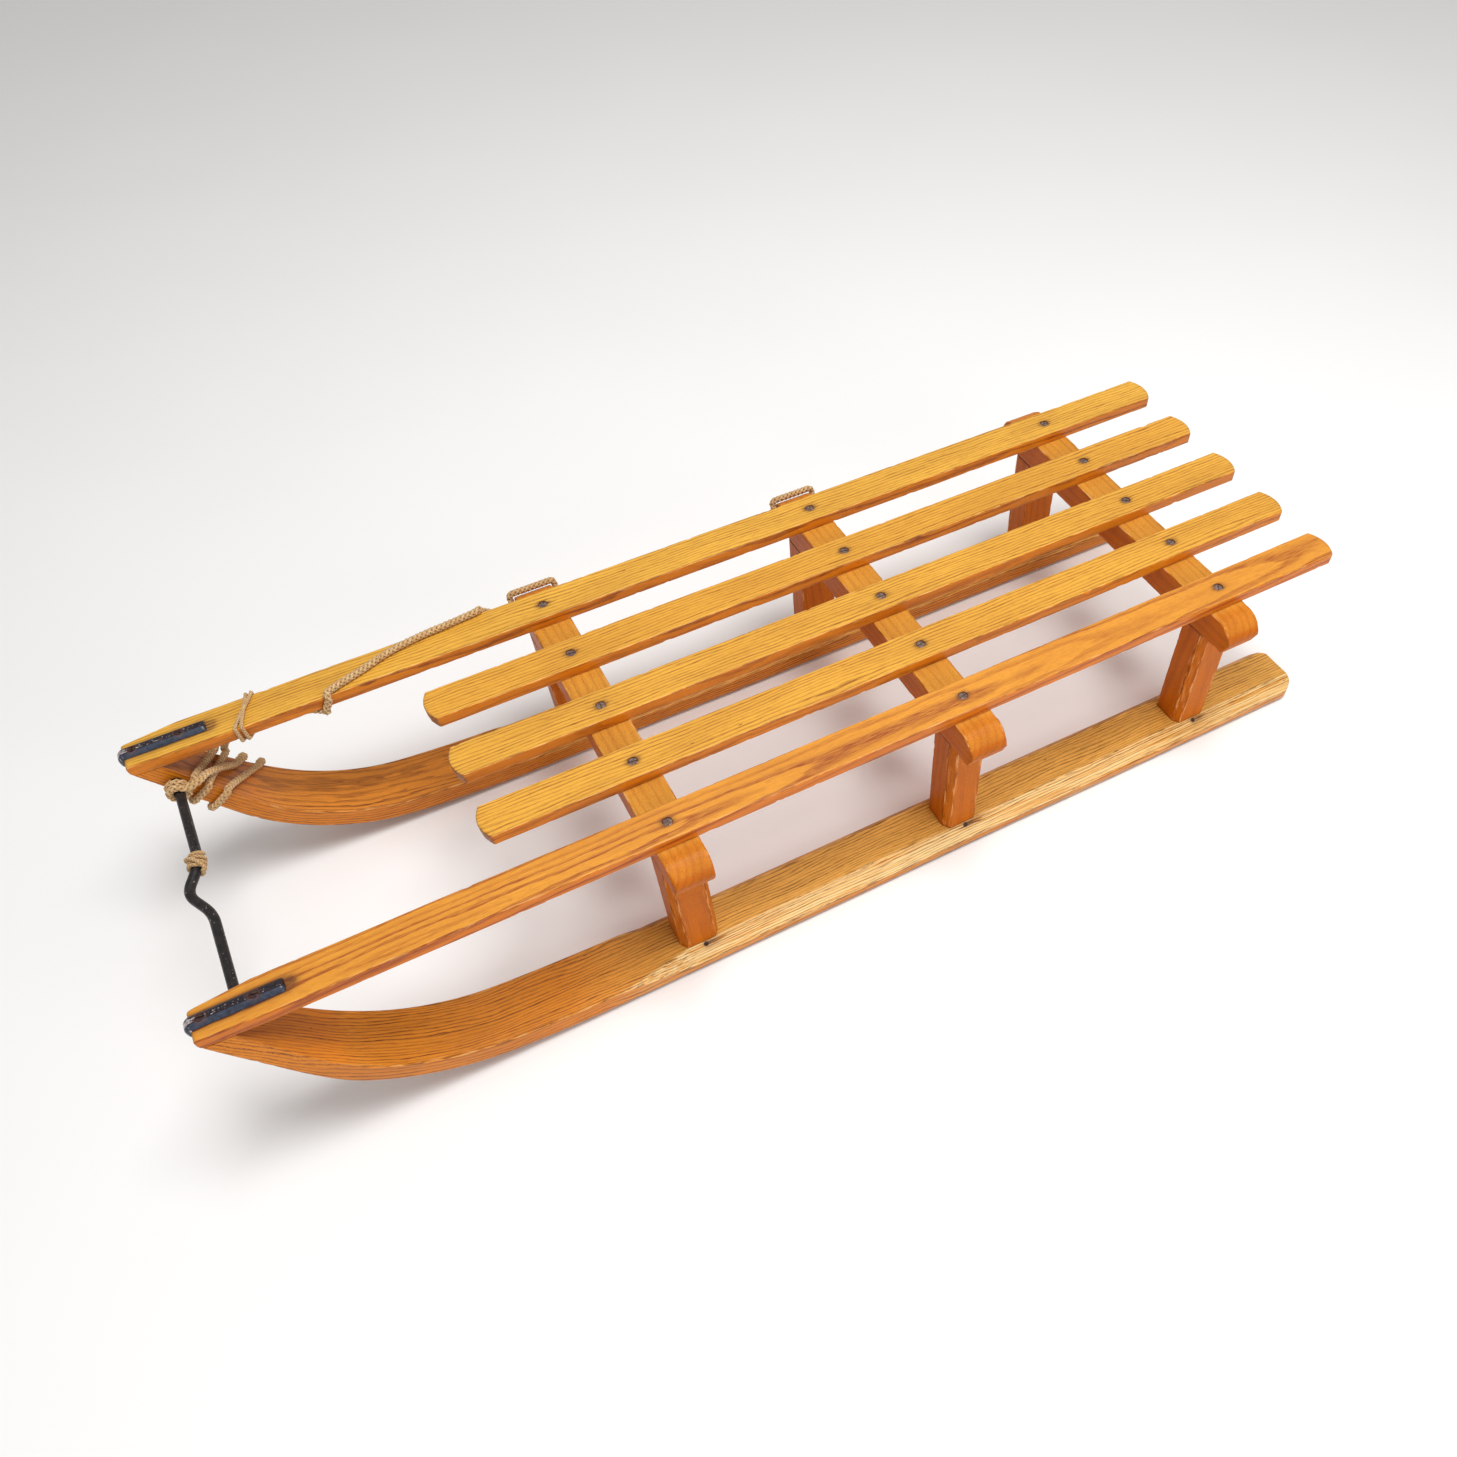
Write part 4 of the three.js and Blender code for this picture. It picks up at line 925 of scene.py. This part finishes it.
def runner_stain_and_shade(points, x, lift):
    """Rust behind the nails, grime beside the steel, and painted shade on the top tucked up under the outer
    slat.
    """
    stain = np.zeros(len(points))
    for row in BAR_Y.values():
        spot = nail_place(row)
        behind = points[:, 1] - spot.y
        stretch = np.where(behind > 0, 7.0, 1.6)
        near = screw_stain(x - spot.x, behind / stretch, 1.5 * MM, 1.0)
        stain = np.maximum(stain, 0.8 * near * (lift > 0.5 * THICKNESS))
    beside_steel = np.exp(-np.maximum(np.abs(x - SLAT_X) - STEEL_HALF, 0) / (1.6 * MM))
    stain = np.maximum(stain, 0.7 * beside_steel * (lift < 1 * MM))
    # Painted shade: the runner's top darkens as it rises up under the outer slat.
    tucked = np.clip(1 - (SLAT_UNDERSIDE - points[:, 2]) / (75 * MM), 0, 1)
    return np.maximum(stain, 0.45 * tucked * (lift > 0.9 * THICKNESS))


def runner(side, pith, tilt):
    piece = runner_board(side)
    drill_runner(piece, SIDES[side])
    points = coordinates(piece)
    x = points[:, 0] * SIDES[side]
    length, lift = unroll(points)
    inner, outer = runner_edges(points[:, 1])
    outer_start, outer_drop, inner_start, inner_drop = bevels(points[:, 1], inner, outer)
    outer_plane = (outer - x) * outer_drop + (THICKNESS - lift - outer_drop) * (outer - outer_start)
    outer_plane /= np.hypot(outer_drop, outer - outer_start)
    inner_plane = (x - inner) * inner_drop + (THICKNESS - lift - inner_drop) * (inner_start - inner)
    inner_plane /= np.hypot(inner_drop, inner_start - inner)
    wear = wear_of([x - inner, outer - x, lift, THICKNESS - lift, outer_plane, inner_plane], 2.0 * MM)
    # The outer bevel and a band down the outer side are painted pale: partly wood worn pale, partly painted
    # highlight.
    side_band = np.exp(-np.abs(outer - x) / (0.5 * MM)) * 0.4
    rubbed_and_highlit = np.maximum(np.clip(1 - np.abs(outer_plane) / (0.5 * MM), 0, 1), side_band)
    rubbed_and_highlit *= 0.85 * np.clip((points[:, 1] - OUTER_BEVEL_FADE[1]) / (60 * MM), 0, 1)
    # Painted shade: deeper orange towards the front bend, where the top tilts forward away from the light.
    warmth = 0.85 * np.clip((OUTER_BEVEL_FADE[0] - points[:, 1]) / (130 * MM), 0, 1)
    give_grain(piece, x - RUNNER_LOW.x, lift, length, pith, tilt)
    give_mask(piece, wear, runner_stain_and_shade(points, x, lift), warmth)
    attribute(piece, "bevel", np.stack([rubbed_and_highlit] * 3, 1))
    finish(piece, [f"runner_{side}"], RUNNER_ASH)


# ---------------------------------------------------------------- metal


def steel_line():
    """Line of the steel's flat back as (y, z) points, and its outward normals."""
    lengths = np.arange(RUNNER_HIGH.y - STEEL_HIGH.y, HORN_START, 1 * MM)
    back = [runner_frame(v) for v in lengths]
    points = [(y - STEEL_GAP * -math.sin(s), z - STEEL_GAP * math.cos(s)) for y, z, s in back]
    face = SLAT_LOW.y - STEEL_GAP
    y, z, slope = runner_frame(HORN_START)
    y, z = y + STEEL_GAP * math.sin(slope), z - STEEL_GAP * math.cos(slope)
    to_face = (y - face) / math.cos(slope)
    points += [
        (y - v * math.cos(slope), z + v * math.sin(slope)) for v in np.arange(0, to_face, 1 * MM)
    ]
    corner = SLAT_TOP - NOSE_ROUND
    level = z + to_face * math.sin(slope)
    points += [(face, v) for v in np.arange(level, corner, 1 * MM)]
    radius = NOSE_ROUND + STEEL_GAP
    center = SLAT_LOW.y + NOSE_ROUND
    points += [
        (center - radius * math.cos(a), corner + radius * math.sin(a))
        for a in np.linspace(0, math.pi / 2, 8)
    ]
    points += [(v, SLAT_TOP + STEEL_GAP) for v in np.arange(center + 1 * MM, STEEL_TOP_END, 1 * MM)]
    points.append((STEEL_TOP_END, SLAT_TOP + STEEL_GAP))
    points = np.array(points)
    tangent = np.gradient(points, axis=0)
    for _ in range(6):
        tangent[1:-1] = (tangent[:-2] + tangent[1:-1] * 2 + tangent[2:]) / 4
    tangent /= np.linalg.norm(tangent, axis=1, keepdims=True)
    return points, np.stack([-tangent[:, 1], tangent[:, 0]], 1)


def steel_bar(side):
    """The bar, half round on a flat back, slimmer at its ends, its crown a little notched."""
    line, normal = steel_line()
    travelled = np.concatenate([[0], np.cumsum(np.linalg.norm(np.diff(line, axis=0), axis=1))])
    total = travelled[-1]
    across = np.linspace(-1, 1, 21)
    roof = 0.2 + 0.8 * np.sin(np.clip((1 - np.abs(across)) / 0.7, 0, 1) * math.pi / 2)
    section = [(-1, 0), *zip(across, roof), (1, 0)]
    seed = rng.uniform(0, 90)
    rings = np.zeros((len(line), len(section), 3))
    for i, ((y, z), (ny, nz)) in enumerate(zip(line, normal)):
        end_distance = min(travelled[i], total - travelled[i])
        ease = math.sqrt(1 - (1 - min(end_distance / (3.5 * MM), 1)) ** 2)
        width = STEEL_HALF * (0.72 + 0.28 * ease)
        height = STEEL_HEIGHT * (0.3 + 0.7 * ease)
        ridge = noise.noise(Vector((travelled[i] / 0.012, seed, 0))) * 0.12 * MM
        notch = noise.noise(Vector((travelled[i] / 0.004, seed, 3))) - 0.42
        ridge -= max(notch, 0) * 1.6 * MM
        for k, (a, h) in enumerate(section):
            crown = max(1 - abs(a) / 0.3, 0)
            out = min(height * h + ridge * crown * (h > 0), STEEL_HEIGHT)
            rings[i, k] = ((SLAT_X + a * width) * SIDES[side], y + ny * out, z + nz * out)
    return new_object(f"runner_steel_{side}_bar", new_mesh("steel", *skin(rings)))


def runner_steel(side):
    piece = steel_bar(side)
    noses = [middle(f"nose_screw_{side}_{i}") for i in (1, 2)]
    shoes = [middle(f"shoe_screw_{side}_{i}") for i in (1, 2, 3, 4)]
    flipped = [(r, -h) for r, h in reversed(STEEL_SCREW_SEAT)]
    cutters = [turned(STEEL_SCREW_SEAT, 28, (p.x, p.y, STEEL_SCREW_TOP)) for p in noses]
    cutters += [turned(flipped, 28, (p.x, p.y, STEEL_SCREW_RECESS)) for p in shoes]
    cut(piece, cutters)
    x, y, z = coordinates(piece).T
    from_middle = np.abs(x * SIDES[side] - SLAT_X)
    crown = np.exp(-(((from_middle - STEEL_ARRIS) / (1.3 * MM)) ** 2))
    rusty = np.zeros(len(x))
    for p in noses + shoes:
        rusty = np.maximum(rusty, screw_stain(x - p.x, y - p.y, STEEL_SCREW_HEAD, 1.0))
    nose = np.exp(-np.hypot(y - SLAT_LOW.y, z - SLAT_TOP) / (7 * MM))
    give_mask(piece, crown, rusty, nose)
    finish(piece, [f"runner_steel_{side}"], STEEL_PAINT, sharp=50)


def screw_mesh(name, radius, slot, length):
    """A slotted countersunk screw, its head's top at the origin."""
    profile = [
        (0.4 * MM, -length),
        (1.7 * MM, -length + 4 * MM),
        (1.9 * MM, -radius),
        (radius, -0.7 * MM),
        (radius, -0.25 * MM),
        (radius - 0.1 * MM, -0.08 * MM),
        (radius - 0.35 * MM, 0.0),
        (radius * 0.5, 0.04 * MM),
    ]
    head = new_object(name, new_mesh(name, *turned(profile, 40)))
    half = slot / 2
    wide = radius * 1.3
    corners = [(-half, -1.1 * MM), (half, -1.1 * MM), (half * 1.15, 1 * MM), (-half * 1.15, 1 * MM)]
    rings = np.array([[(s * wide, y, z) for y, z in corners] for s in (-1, 1)])
    cut(head, [skin(rings)])
    return head


def place_screws(template, nodes, height, flip, material):
    """Copies of a screw over each node, each turned its own way."""
    upright = Matrix.Rotation(math.pi, 4, "X") if flip else Matrix()
    for node in nodes:
        spot = middle(node)
        turn = Matrix.Rotation(rng.uniform(0, math.pi), 4, "Z")
        mesh = template.data.copy()
        mesh.transform(Matrix.Translation((spot.x, spot.y, height)) @ upright @ turn)
        finish(new_object(node + "_turned", mesh), [node], material, sharp=30)


def screws():
    slat_screw = screw_mesh("slat_screw", SCREW_HEAD, 1.1 * MM, 33 * MM)
    nodes = [f"slat_screw_{name}_{place}" for name in SLATS for place in TRESTLES]
    place_screws(slat_screw, nodes, SLAT_TOP - SCREW_RECESS, False, SCREW_STEEL)
    bpy.data.objects.remove(slat_screw)
    steel_screw = screw_mesh("steel_screw", STEEL_SCREW_HEAD, 0.9 * MM, 11 * MM)
    noses = [f"nose_screw_{side}_{i}" for side in SIDES for i in (1, 2)]
    shoes = [f"shoe_screw_{side}_{i}" for side in SIDES for i in (1, 2, 3, 4)]
    place_screws(steel_screw, noses, STEEL_SCREW_TOP, False, RUSTY_SCREW)
    place_screws(steel_screw, shoes, STEEL_SCREW_RECESS, True, RUSTY_SCREW)
    bpy.data.objects.remove(steel_screw)


def nails():
    profile = [
        (0.3 * MM, -18 * MM),
        (1.1 * MM, -15 * MM),
        (1.1 * MM, -1.0 * MM),
        (NAIL_HEAD, -0.8 * MM),
        (NAIL_HEAD, -0.3 * MM),
        (NAIL_HEAD - 0.3 * MM, -0.05 * MM),
        (NAIL_HEAD * 0.4, 0.1 * MM),
    ]
    points, faces = turned(profile, 24)
    turn = Matrix.Rotation(BEVEL_PITCH, 3, "Y")
    for side, sign in SIDES.items():
        for place in TRESTLES:
            spot = nail_place(BAR_Y[place])
            moved = [turn @ Vector(p) + spot for p in points]
            placed = [(p.x * sign, p.y, p.z) for p in moved]
            node = f"post_nail_{side}_{place}"
            piece = new_object(node + "_driven", new_mesh(node, placed, faces))
            finish(piece, [node], RUSTY_SCREW, sharp=30)


# ---------------------------------------------------------------- draw iron and rope


def evenly(points, spacing):
    """Points at an even spacing along straight stretches between points, and how far along each is."""
    dense = np.array([tuple(p) for p in points])
    travelled = np.concatenate([[0], np.cumsum(np.linalg.norm(np.diff(dense, axis=0), axis=1))])
    even = np.linspace(0, travelled[-1], int(travelled[-1] / spacing) + 1)
    return np.stack([np.interp(even, travelled, dense[:, i]) for i in range(3)], 1), even


def smooth_line(points, spacing):
    """Points at an even spacing along a centripetal spline through points, as evenly gives them."""
    points = [Vector(p) for p in points]
    points = [points[0] * 2 - points[1], *points, points[-1] * 2 - points[-2]]
    dense = []
    for i in range(1, len(points) - 2):
        a, b, c, d = points[i - 1 : i + 3]
        t0 = 0.0
        t1 = t0 + math.sqrt(max((b - a).length, 1e-6))
        t2 = t1 + math.sqrt(max((c - b).length, 1e-6))
        t3 = t2 + math.sqrt(max((d - c).length, 1e-6))
        steps = max(int((c - b).length / (spacing * 0.4)), 2)
        for k in range(steps):
            t = t1 + (t2 - t1) * k / steps
            ab = a.lerp(b, (t - t0) / (t1 - t0))
            bc = b.lerp(c, (t - t1) / (t2 - t1))
            cd = c.lerp(d, (t - t2) / (t3 - t2))
            left = ab.lerp(bc, (t - t0) / (t2 - t0))
            right = bc.lerp(cd, (t - t1) / (t3 - t1))
            dense.append(left.lerp(right, (t - t1) / (t2 - t1)))
    return evenly([*dense, points[-2]], spacing)


def carried_frames(line):
    """Two directions square to a line, carried along it without twist."""
    tangents = np.gradient(line, axis=0)
    tangents /= np.linalg.norm(tangents, axis=1, keepdims=True)
    first = np.cross(tangents[0], (0.3, 0.2, 1.0))
    normals = [first / np.linalg.norm(first)]
    for tangent in tangents[1:]:
        normal = normals[-1] - tangent * np.dot(normals[-1], tangent)
        normals.append(normal / np.linalg.norm(normal))
    normals = np.array(normals)
    return normals, np.cross(tangents, normals)


def tube(line, radius, sides):
    """Vertices and faces of a tube of one radius, or of a radius at each station."""
    normals, binormals = carried_frames(line)
    angles = (np.arange(sides) * 2 * math.pi / sides)[None, :, None]
    radius = np.broadcast_to(radius, len(line))[:, None, None]
    around = np.cos(angles) * normals[:, None] + np.sin(angles) * binormals[:, None]
    return skin(line[:, None] + around * radius)


STRANDS = 3
BRAID_PITCH = 15 * MM
BRAID_RADIUS = 1.95 * MM
STRAND_RADIUS = 1.35 * MM
STRAND_SIDES = 7
WEAVE = 0.45 * MM


def braid(line, travelled, size):
    """A round braid of six strands over a core: points, faces, grain and painted shade per vertex, darkest in
    the valleys between strands and on the core.
    """
    normals, binormals = carried_frames(line)
    turn = 2 * math.pi * travelled / (BRAID_PITCH * size)
    shapes, grains, painted_shades = [], [], []
    for direction in (1, -1):
        # Painted shade: strands laid one way are darkened a little more than those laid the other way.
        shade = 1.1 if direction > 0 else 1.3
        for strand in range(STRANDS):
            angle = direction * turn + strand * 2 * math.pi / STRANDS
            radius = (BRAID_RADIUS + direction * WEAVE * np.cos(STRANDS * turn)) * size
            offset = np.cos(angle)[:, None] * normals + np.sin(angle)[:, None] * binormals
            points, faces = tube(line + offset * radius[:, None], STRAND_RADIUS * size, STRAND_SIDES)
            shapes.append((points, faces))
            outward = np.linalg.norm(points - np.repeat(line, STRAND_SIDES, axis=0), axis=1)
            seed = 40 * (strand + STRANDS * (direction > 0))
            around = np.tile(np.arange(STRAND_SIDES) * 0.9, len(line)) + seed
            along = np.repeat(travelled, STRAND_SIDES)
            grains.append(np.stack([around, outward / MM, along / MM], 1))
            # Painted shade: darker the deeper a point lies in the braid's valleys.
            painted_shades.append(np.clip(shade - (outward / size - 1.9 * MM) / (1.4 * MM), 0, 1))
    points, faces = tube(line, 1.5 * MM * size, 8)
    shapes.append((points, faces))
    grains.append(np.zeros((len(points), 3)))
    # Painted shade: the core, seen only in the gaps between strands, is fully darkened.
    painted_shades.append(np.ones(len(points)))
    return *joined(shapes), np.concatenate(grains), np.concatenate(painted_shades)


def rope(name, control, mirror, node, body, size=1.0):
    """Braided rope through control points, mirrored in X if mirror is -1."""
    line, travelled = smooth_line(control, 1.5 * MM * size)
    vertices, faces, grain, depth = braid(line, travelled, size)
    vertices[:, 0] *= mirror
    mesh = bpy.data.meshes.new(name)
    mesh.from_pydata(vertices.tolist(), [], faces)
    if mirror < 0:
        mesh.flip_normals()
    piece = new_object(name, mesh)
    attribute(piece, "grain", grain)
    # The mask's first channel carries the braid's painted shade.
    give_mask(piece, depth, 0, 0)
    finish(piece, [node], JUTE, body, sharp=70)


KINK_HALF_WIDTH = 30 * MM
KINK_REACH = ROD_AXIS.y - ROD_LOW.y - ROD_RADIUS
KINK_BEND = 11 * MM


def rod_line():
    """Centre line of the draw iron, kinked forward in the middle."""

    def at(x, forward):
        return Vector((x, ROD_AXIS.y - forward, ROD_AXIS.z))

    def bend(before, corner, after):
        shares = np.linspace(0, 1, 9)
        return [before.lerp(corner, t).lerp(corner.lerp(after, t), t) for t in shares]

    peak = at(0, KINK_REACH)
    feet = {s: at(s * KINK_HALF_WIDTH, 0) for s in (-1, 1)}
    beside = {s: at(s * (KINK_HALF_WIDTH + KINK_BEND), 0) for s in (-1, 1)}
    share = KINK_BEND / (peak - feet[1]).length
    points = [at(ROD_LOW.x, 0)]
    points += bend(beside[-1], feet[-1], feet[-1].lerp(peak, share))
    points += bend(peak.lerp(feet[-1], share), peak, peak.lerp(feet[1], share))
    points += bend(feet[1].lerp(peak, share), feet[1], beside[1])
    points.append(at(ROD_HIGH.x, 0))
    return points


def draw_iron():
    """The kinked rod, a little uneven in thickness."""
    line, travelled = evenly(rod_line(), 2 * MM)
    radius = ROD_RADIUS - 0.05 * MM + wander(travelled, 0.03, 0.1 * MM, 4)
    piece = new_object("draw_iron_rod", new_mesh("draw_iron", *tube(line, radius, 32)))
    finish(piece, ["draw_iron"], IRON, "draw_iron")


def bow_knot():
    """Turns of thin cord round the rod where the kink begins, and its end laid back across them."""
    turns = 4
    turn_steps = 12
    back_steps = 9
    back_angle = math.radians(216)
    pitch = 2 * CORD_RADIUS + 1 * MM
    line, travelled = evenly(rod_line(), 0.5 * MM)
    start = -KINK_HALF_WIDTH - 0.5 * turns * pitch - ROD_LOW.x
    inner = ROD_RADIUS + CORD_RADIUS + 0.1 * MM
    outer = inner + 1.7 * CORD_RADIUS

    def beside_rod(place, angle, radius):
        index = int(np.searchsorted(travelled, place))
        tangent = Vector(line[index + 1] - line[index - 1]).normalized()
        side = Vector((0, 0, 1)).cross(tangent)
        around = side * math.cos(angle) + Vector((0, 0, 1)) * math.sin(angle)
        return Vector(line[index]) + around * radius

    points = []
    for i in range(turns * turn_steps + 1):
        share = i / turn_steps
        points.append(beside_rod(start + share * pitch, share * 2 * math.pi, inner))
    for i in range(1, back_steps + 1):
        share = i / back_steps
        points.append(beside_rod(start + turns * pitch * (1 - share), share * back_angle, outer))
    rope("bow_knot_braid", points, 1, "rope_bow_knot", "draw_iron", CORD_SIZE)


def round_edge(place, start, end, reach=ROPE_REACH):
    """Rope laid round an edge: an arc about it, through place(du, dv), between two angles."""
    angles = [math.radians(start + (end - start) * i / 3) for i in range(4)]
    return [place(reach * math.cos(a), reach * math.sin(a)) for a in angles]


def horn_edge(run, edge, lift, start, end):
    """Rope round one of the horn's long edges, at a distance along the horn."""
    y = on_runner(HORN_START + run, 0, lift).y
    x = float(runner_edges(np.array([y]))[edge][0])
    return round_edge(lambda du, dv: on_runner(HORN_START + run, x + du, lift + dv), start, end)


def under_horn(inner_run, outer_run):
    """Rope over the steel on the horn's underside, between two distances along the horn."""
    lift = -UNDERSIDE - ROPE_REACH
    runs = [inner_run + (outer_run - inner_run) * share for share in (0.42, 0.58)]
    return [on_runner(HORN_START + run, SLAT_X + dx, lift) for run, dx in zip(runs, (-4 * MM, 4 * MM))]


def slat_edge(y, side, z, start, end, reach=ROPE_REACH):
    """Rope round a long edge of the outer slat."""
    x = SLAT_X + side * SLAT_HALF
    return round_edge(lambda du, dv: Vector((x + du, y, z + dv)), start, end, reach)


def over_bar(y):
    """Rope laid over the nose of the crossbar at y, close against its front and rear faces."""
    x = BAR_HIGH.x - 8 * MM
    top = SLAT_UNDERSIDE - 3.4 * MM
    half = BAR_HALF_WIDTH
    front = round_edge(lambda dy, dz: Vector((x, y - half + dy, top + dz)), 180, 90)
    rear = round_edge(lambda dy, dz: Vector((x, y + half + dy, top + dz)), 90, 0)
    across = [Vector((x, y + share * half, top + ROPE_REACH)) for share in (-0.5, 0, 0.5)]
    before = Vector((x - 8 * MM, y - half - 6 * MM, top - 12 * MM))
    after = Vector((x - 8 * MM, y + half + 6 * MM, top - 12 * MM))
    return [before, *front, *across, *rear, after]


INNER, OUTER = 0, 1


def horn_run(point):
    """A point's distance along the horn and its lift above the horn's underside."""
    length, lift = unroll(np.array([tuple(point)]))
    return float(length[0]) - HORN_START, float(lift[0])


def on_horn(run, x, lift):
    """A point on the horn, with its distance along the horn and its X in millimetres."""
    return on_runner(HORN_START + run * MM, x * MM, lift)


def hitch():
    """Rope turned loosely round the draw iron, from its free side in to the horn."""
    turns = 1.75
    steps = 18
    radius = ROD_RADIUS + ROPE_REACH
    pitch = 2 * ROPE_RADIUS + 0.6 * MM
    run, lift = horn_run(ROD_AXIS)
    inner_x = float(runner_edges(np.array([ROD_AXIS.y]))[INNER][0]) - ROPE_REACH
    points = []
    for i in range(steps + 1):
        left = turns * (1 - i / steps)
        angle = math.pi + left * 2 * math.pi
        place = HORN_START + run + radius * math.cos(angle)
        points.append(on_runner(place, inner_x - left * pitch, lift + radius * math.sin(angle)))
    return points


def horn_wraps():
    """Rope round the horn, to the draw iron, and round the horn again up to the slat."""
    top = THICKNESS
    surface = top + ROPE_REACH
    raised = surface + 2 * ROPE_RADIUS + 0.7 * MM
    crossing = horn_run(ROD_AXIS)[0] - ROD_RADIUS - ROPE_REACH
    points = [on_horn(-28, SLAT_X / MM + 15, -ROPE_REACH)]
    points += horn_edge(-28 * MM, OUTER, 0, -90, 0)
    points += horn_edge(-28 * MM, OUTER, top, 0, 90)
    points += horn_edge(24 * MM, INNER, top, 90, 180)
    points += horn_edge(24 * MM, INNER, 0, 180, 270)
    points += under_horn(24 * MM, -7 * MM)
    points += horn_edge(-7 * MM, OUTER, 0, -90, 0)
    points += horn_edge(-7 * MM, OUTER, top, 0, 90)
    points += [on_horn(8, 172, surface), on_horn(22, 158, surface + 5 * MM), on_horn(32, 149, raised)]
    points += [on_horn(50, 131, raised + 1 * MM), on_horn(57, 121, surface + 4 * MM)]
    points += hitch()
    points += horn_edge(crossing, INNER, top, 180, 90)
    points += horn_edge(24 * MM, OUTER, top, 90, 0)
    points += horn_edge(24 * MM, OUTER, 0, 0, -90)
    points += reversed(under_horn(42 * MM, 24 * MM))
    points += horn_edge(42 * MM, INNER, 0, 270, 180)
    points += horn_edge(42 * MM, INNER, top, 180, 90)
    points += horn_edge(13 * MM, OUTER, top, 90, 30)
    return points


def stowed_rope():
    """The tow rope put away: off the horn, below the slat, up and across it, and back over the
    noses of two crossbars. Built on the left, then mirrored."""
    under = SLAT_UNDERSIDE - ROPE_REACH
    upon = SLAT_TOP + ROPE_REACH
    points = horn_wraps()
    below_slat = ((163, -470), (154, -450), (146, -436), (146, -412))
    points += [Vector((x * MM, y * MM, under)) for x, y in below_slat]
    points += slat_edge(-394 * MM, -1, SLAT_UNDERSIDE, 260, 180)
    points += slat_edge(-387 * MM, -1, SLAT_TOP, 180, 90)
    across_slat = ((149, -351), (161, -318), (166.5, -288), (170, -251))
    points += [Vector((x * MM, y * MM, upon)) for x, y in across_slat]
    points += slat_edge(-226 * MM, 1, SLAT_TOP, 90, 20)
    points += over_bar(BAR_Y["front"])
    points += [Vector(p) * MM for p in ((184, -100, 160), (180, -20, 155), (184, 60, 159))]
    points += over_bar(BAR_Y["middle"])
    points.append(Vector((186, 180, 164)) * MM)
    rope("stowed_braid", points, -1, "rope_stowed", "frame")


def slat_lashing():
    """Thin cord in two turns that cross on the slat, round it and the rope below it."""
    reach = ROPE_REACH * CORD_SIZE
    below = SLAT_UNDERSIDE - 2 * ROPE_REACH - reach
    points = [Vector((SLAT_X, -462 * MM, below))]
    for outer_y, inner_y in ((-454 * MM, -466 * MM), (-449 * MM, -472 * MM)):
        points += slat_edge(outer_y - 2 * MM, 1, SLAT_UNDERSIDE, -90, 0, reach)
        points += slat_edge(outer_y, 1, SLAT_TOP, 0, 90, reach)
        points += slat_edge(inner_y, -1, SLAT_TOP, 90, 180, reach)
        points += slat_edge(inner_y, -1, SLAT_UNDERSIDE, 180, 250, reach)
        points.append(Vector((SLAT_X, (outer_y + inner_y) / 2, below)))
    rope("slat_lashing", points, -1, "rope_stowed", "frame", CORD_SIZE)


# ---------------------------------------------------------------- stage, light and camera


def floor():
    size = 6.0
    corners = [(-size, -size, 0), (size, -size, 0), (size, size, 0), (-size, size, 0)]
    plane = new_object("floor", new_mesh("floor", corners, [(0, 1, 2, 3)]))
    s = Shader("pale_floor")
    speckle = s.noise(s.node("ShaderNodeTexCoord", "Object"), 3.0)
    s.set(Base_Color=s.mix(speckle, color(244, 243, 241), color(248, 247, 246)), Roughness=0.9)
    plane.data.materials.append(s.material)


def area_light(name, position, size, watts):
    """A square lamp aimed at the sled."""
    light = bpy.data.lights.new(name, "AREA")
    light.energy = watts
    light.size = size
    lamp = new_object(name, light)
    lamp.location = position
    lamp.rotation_euler = (Vector((0, 0, 0.1)) - Vector(position)).to_track_quat("-Z", "Y").to_euler()


def daylight():
    world = bpy.data.worlds.new("soft_sky")
    bpy.context.scene.world = world
    world.use_nodes = True
    background = world.node_tree.nodes["Background"]
    background.inputs["Color"].default_value = (1.0, 1.0, 1.0, 1.0)
    background.inputs["Strength"].default_value = 0.42
    area_light("overhead", (0.4, 0.4, 2.6), 1.3, 56)
    area_light("side_fill", (2.2, 0.5, 1.0), 1.2, 15)


def camera():
    data = bpy.data.cameras.new("camera")
    data.sensor_width = 36.0
    data.lens = 27.356
    data.shift_x = -0.0849
    data.shift_y = 0.1186
    data.clip_start = 0.01
    eye = new_object("camera", data)
    eye.location = (0.7389, -0.2968, 0.9610)
    eye.rotation_euler = (math.radians(32.712), math.radians(0.564), math.radians(61.250))
    bpy.context.scene.camera = eye


# ---------------------------------------------------------------- the sled

slat("slat_right_outer", (-95 * MM, 22 * MM), (0.004, 0.02), 0.0)
slat("slat_right_inner", (-70 * MM, -30 * MM), (0.010, -0.01), 0.18)
slat("slat_centre", (110 * MM, 18 * MM), (-0.012, 0.01), 0.1)
slat("slat_left_inner", (-85 * MM, 26 * MM), (-0.008, -0.02), 0.15)
slat("slat_left_outer", (-6 * MM, -24 * MM), (0.012, -0.03), 0.3)

for index, place in enumerate(TRESTLES):
    crossbar(place, (30 * MM + 9 * MM * index, -60 * MM), (0.01, 0.02))
    for side in SIDES:
        post(side, place, (-40 * MM - 7 * MM * index, 30 * MM), (0.03, -0.02))

for side in SIDES:
    runner(side, (40 * MM * SIDES[side], -75 * MM), (0.002, 0.004))
    runner_steel(side)

screws()
nails()
draw_iron()
bow_knot()
stowed_rope()
slat_lashing()

floor()
daylight()
camera()
bpy.context.scene.view_settings.view_transform = "Standard"
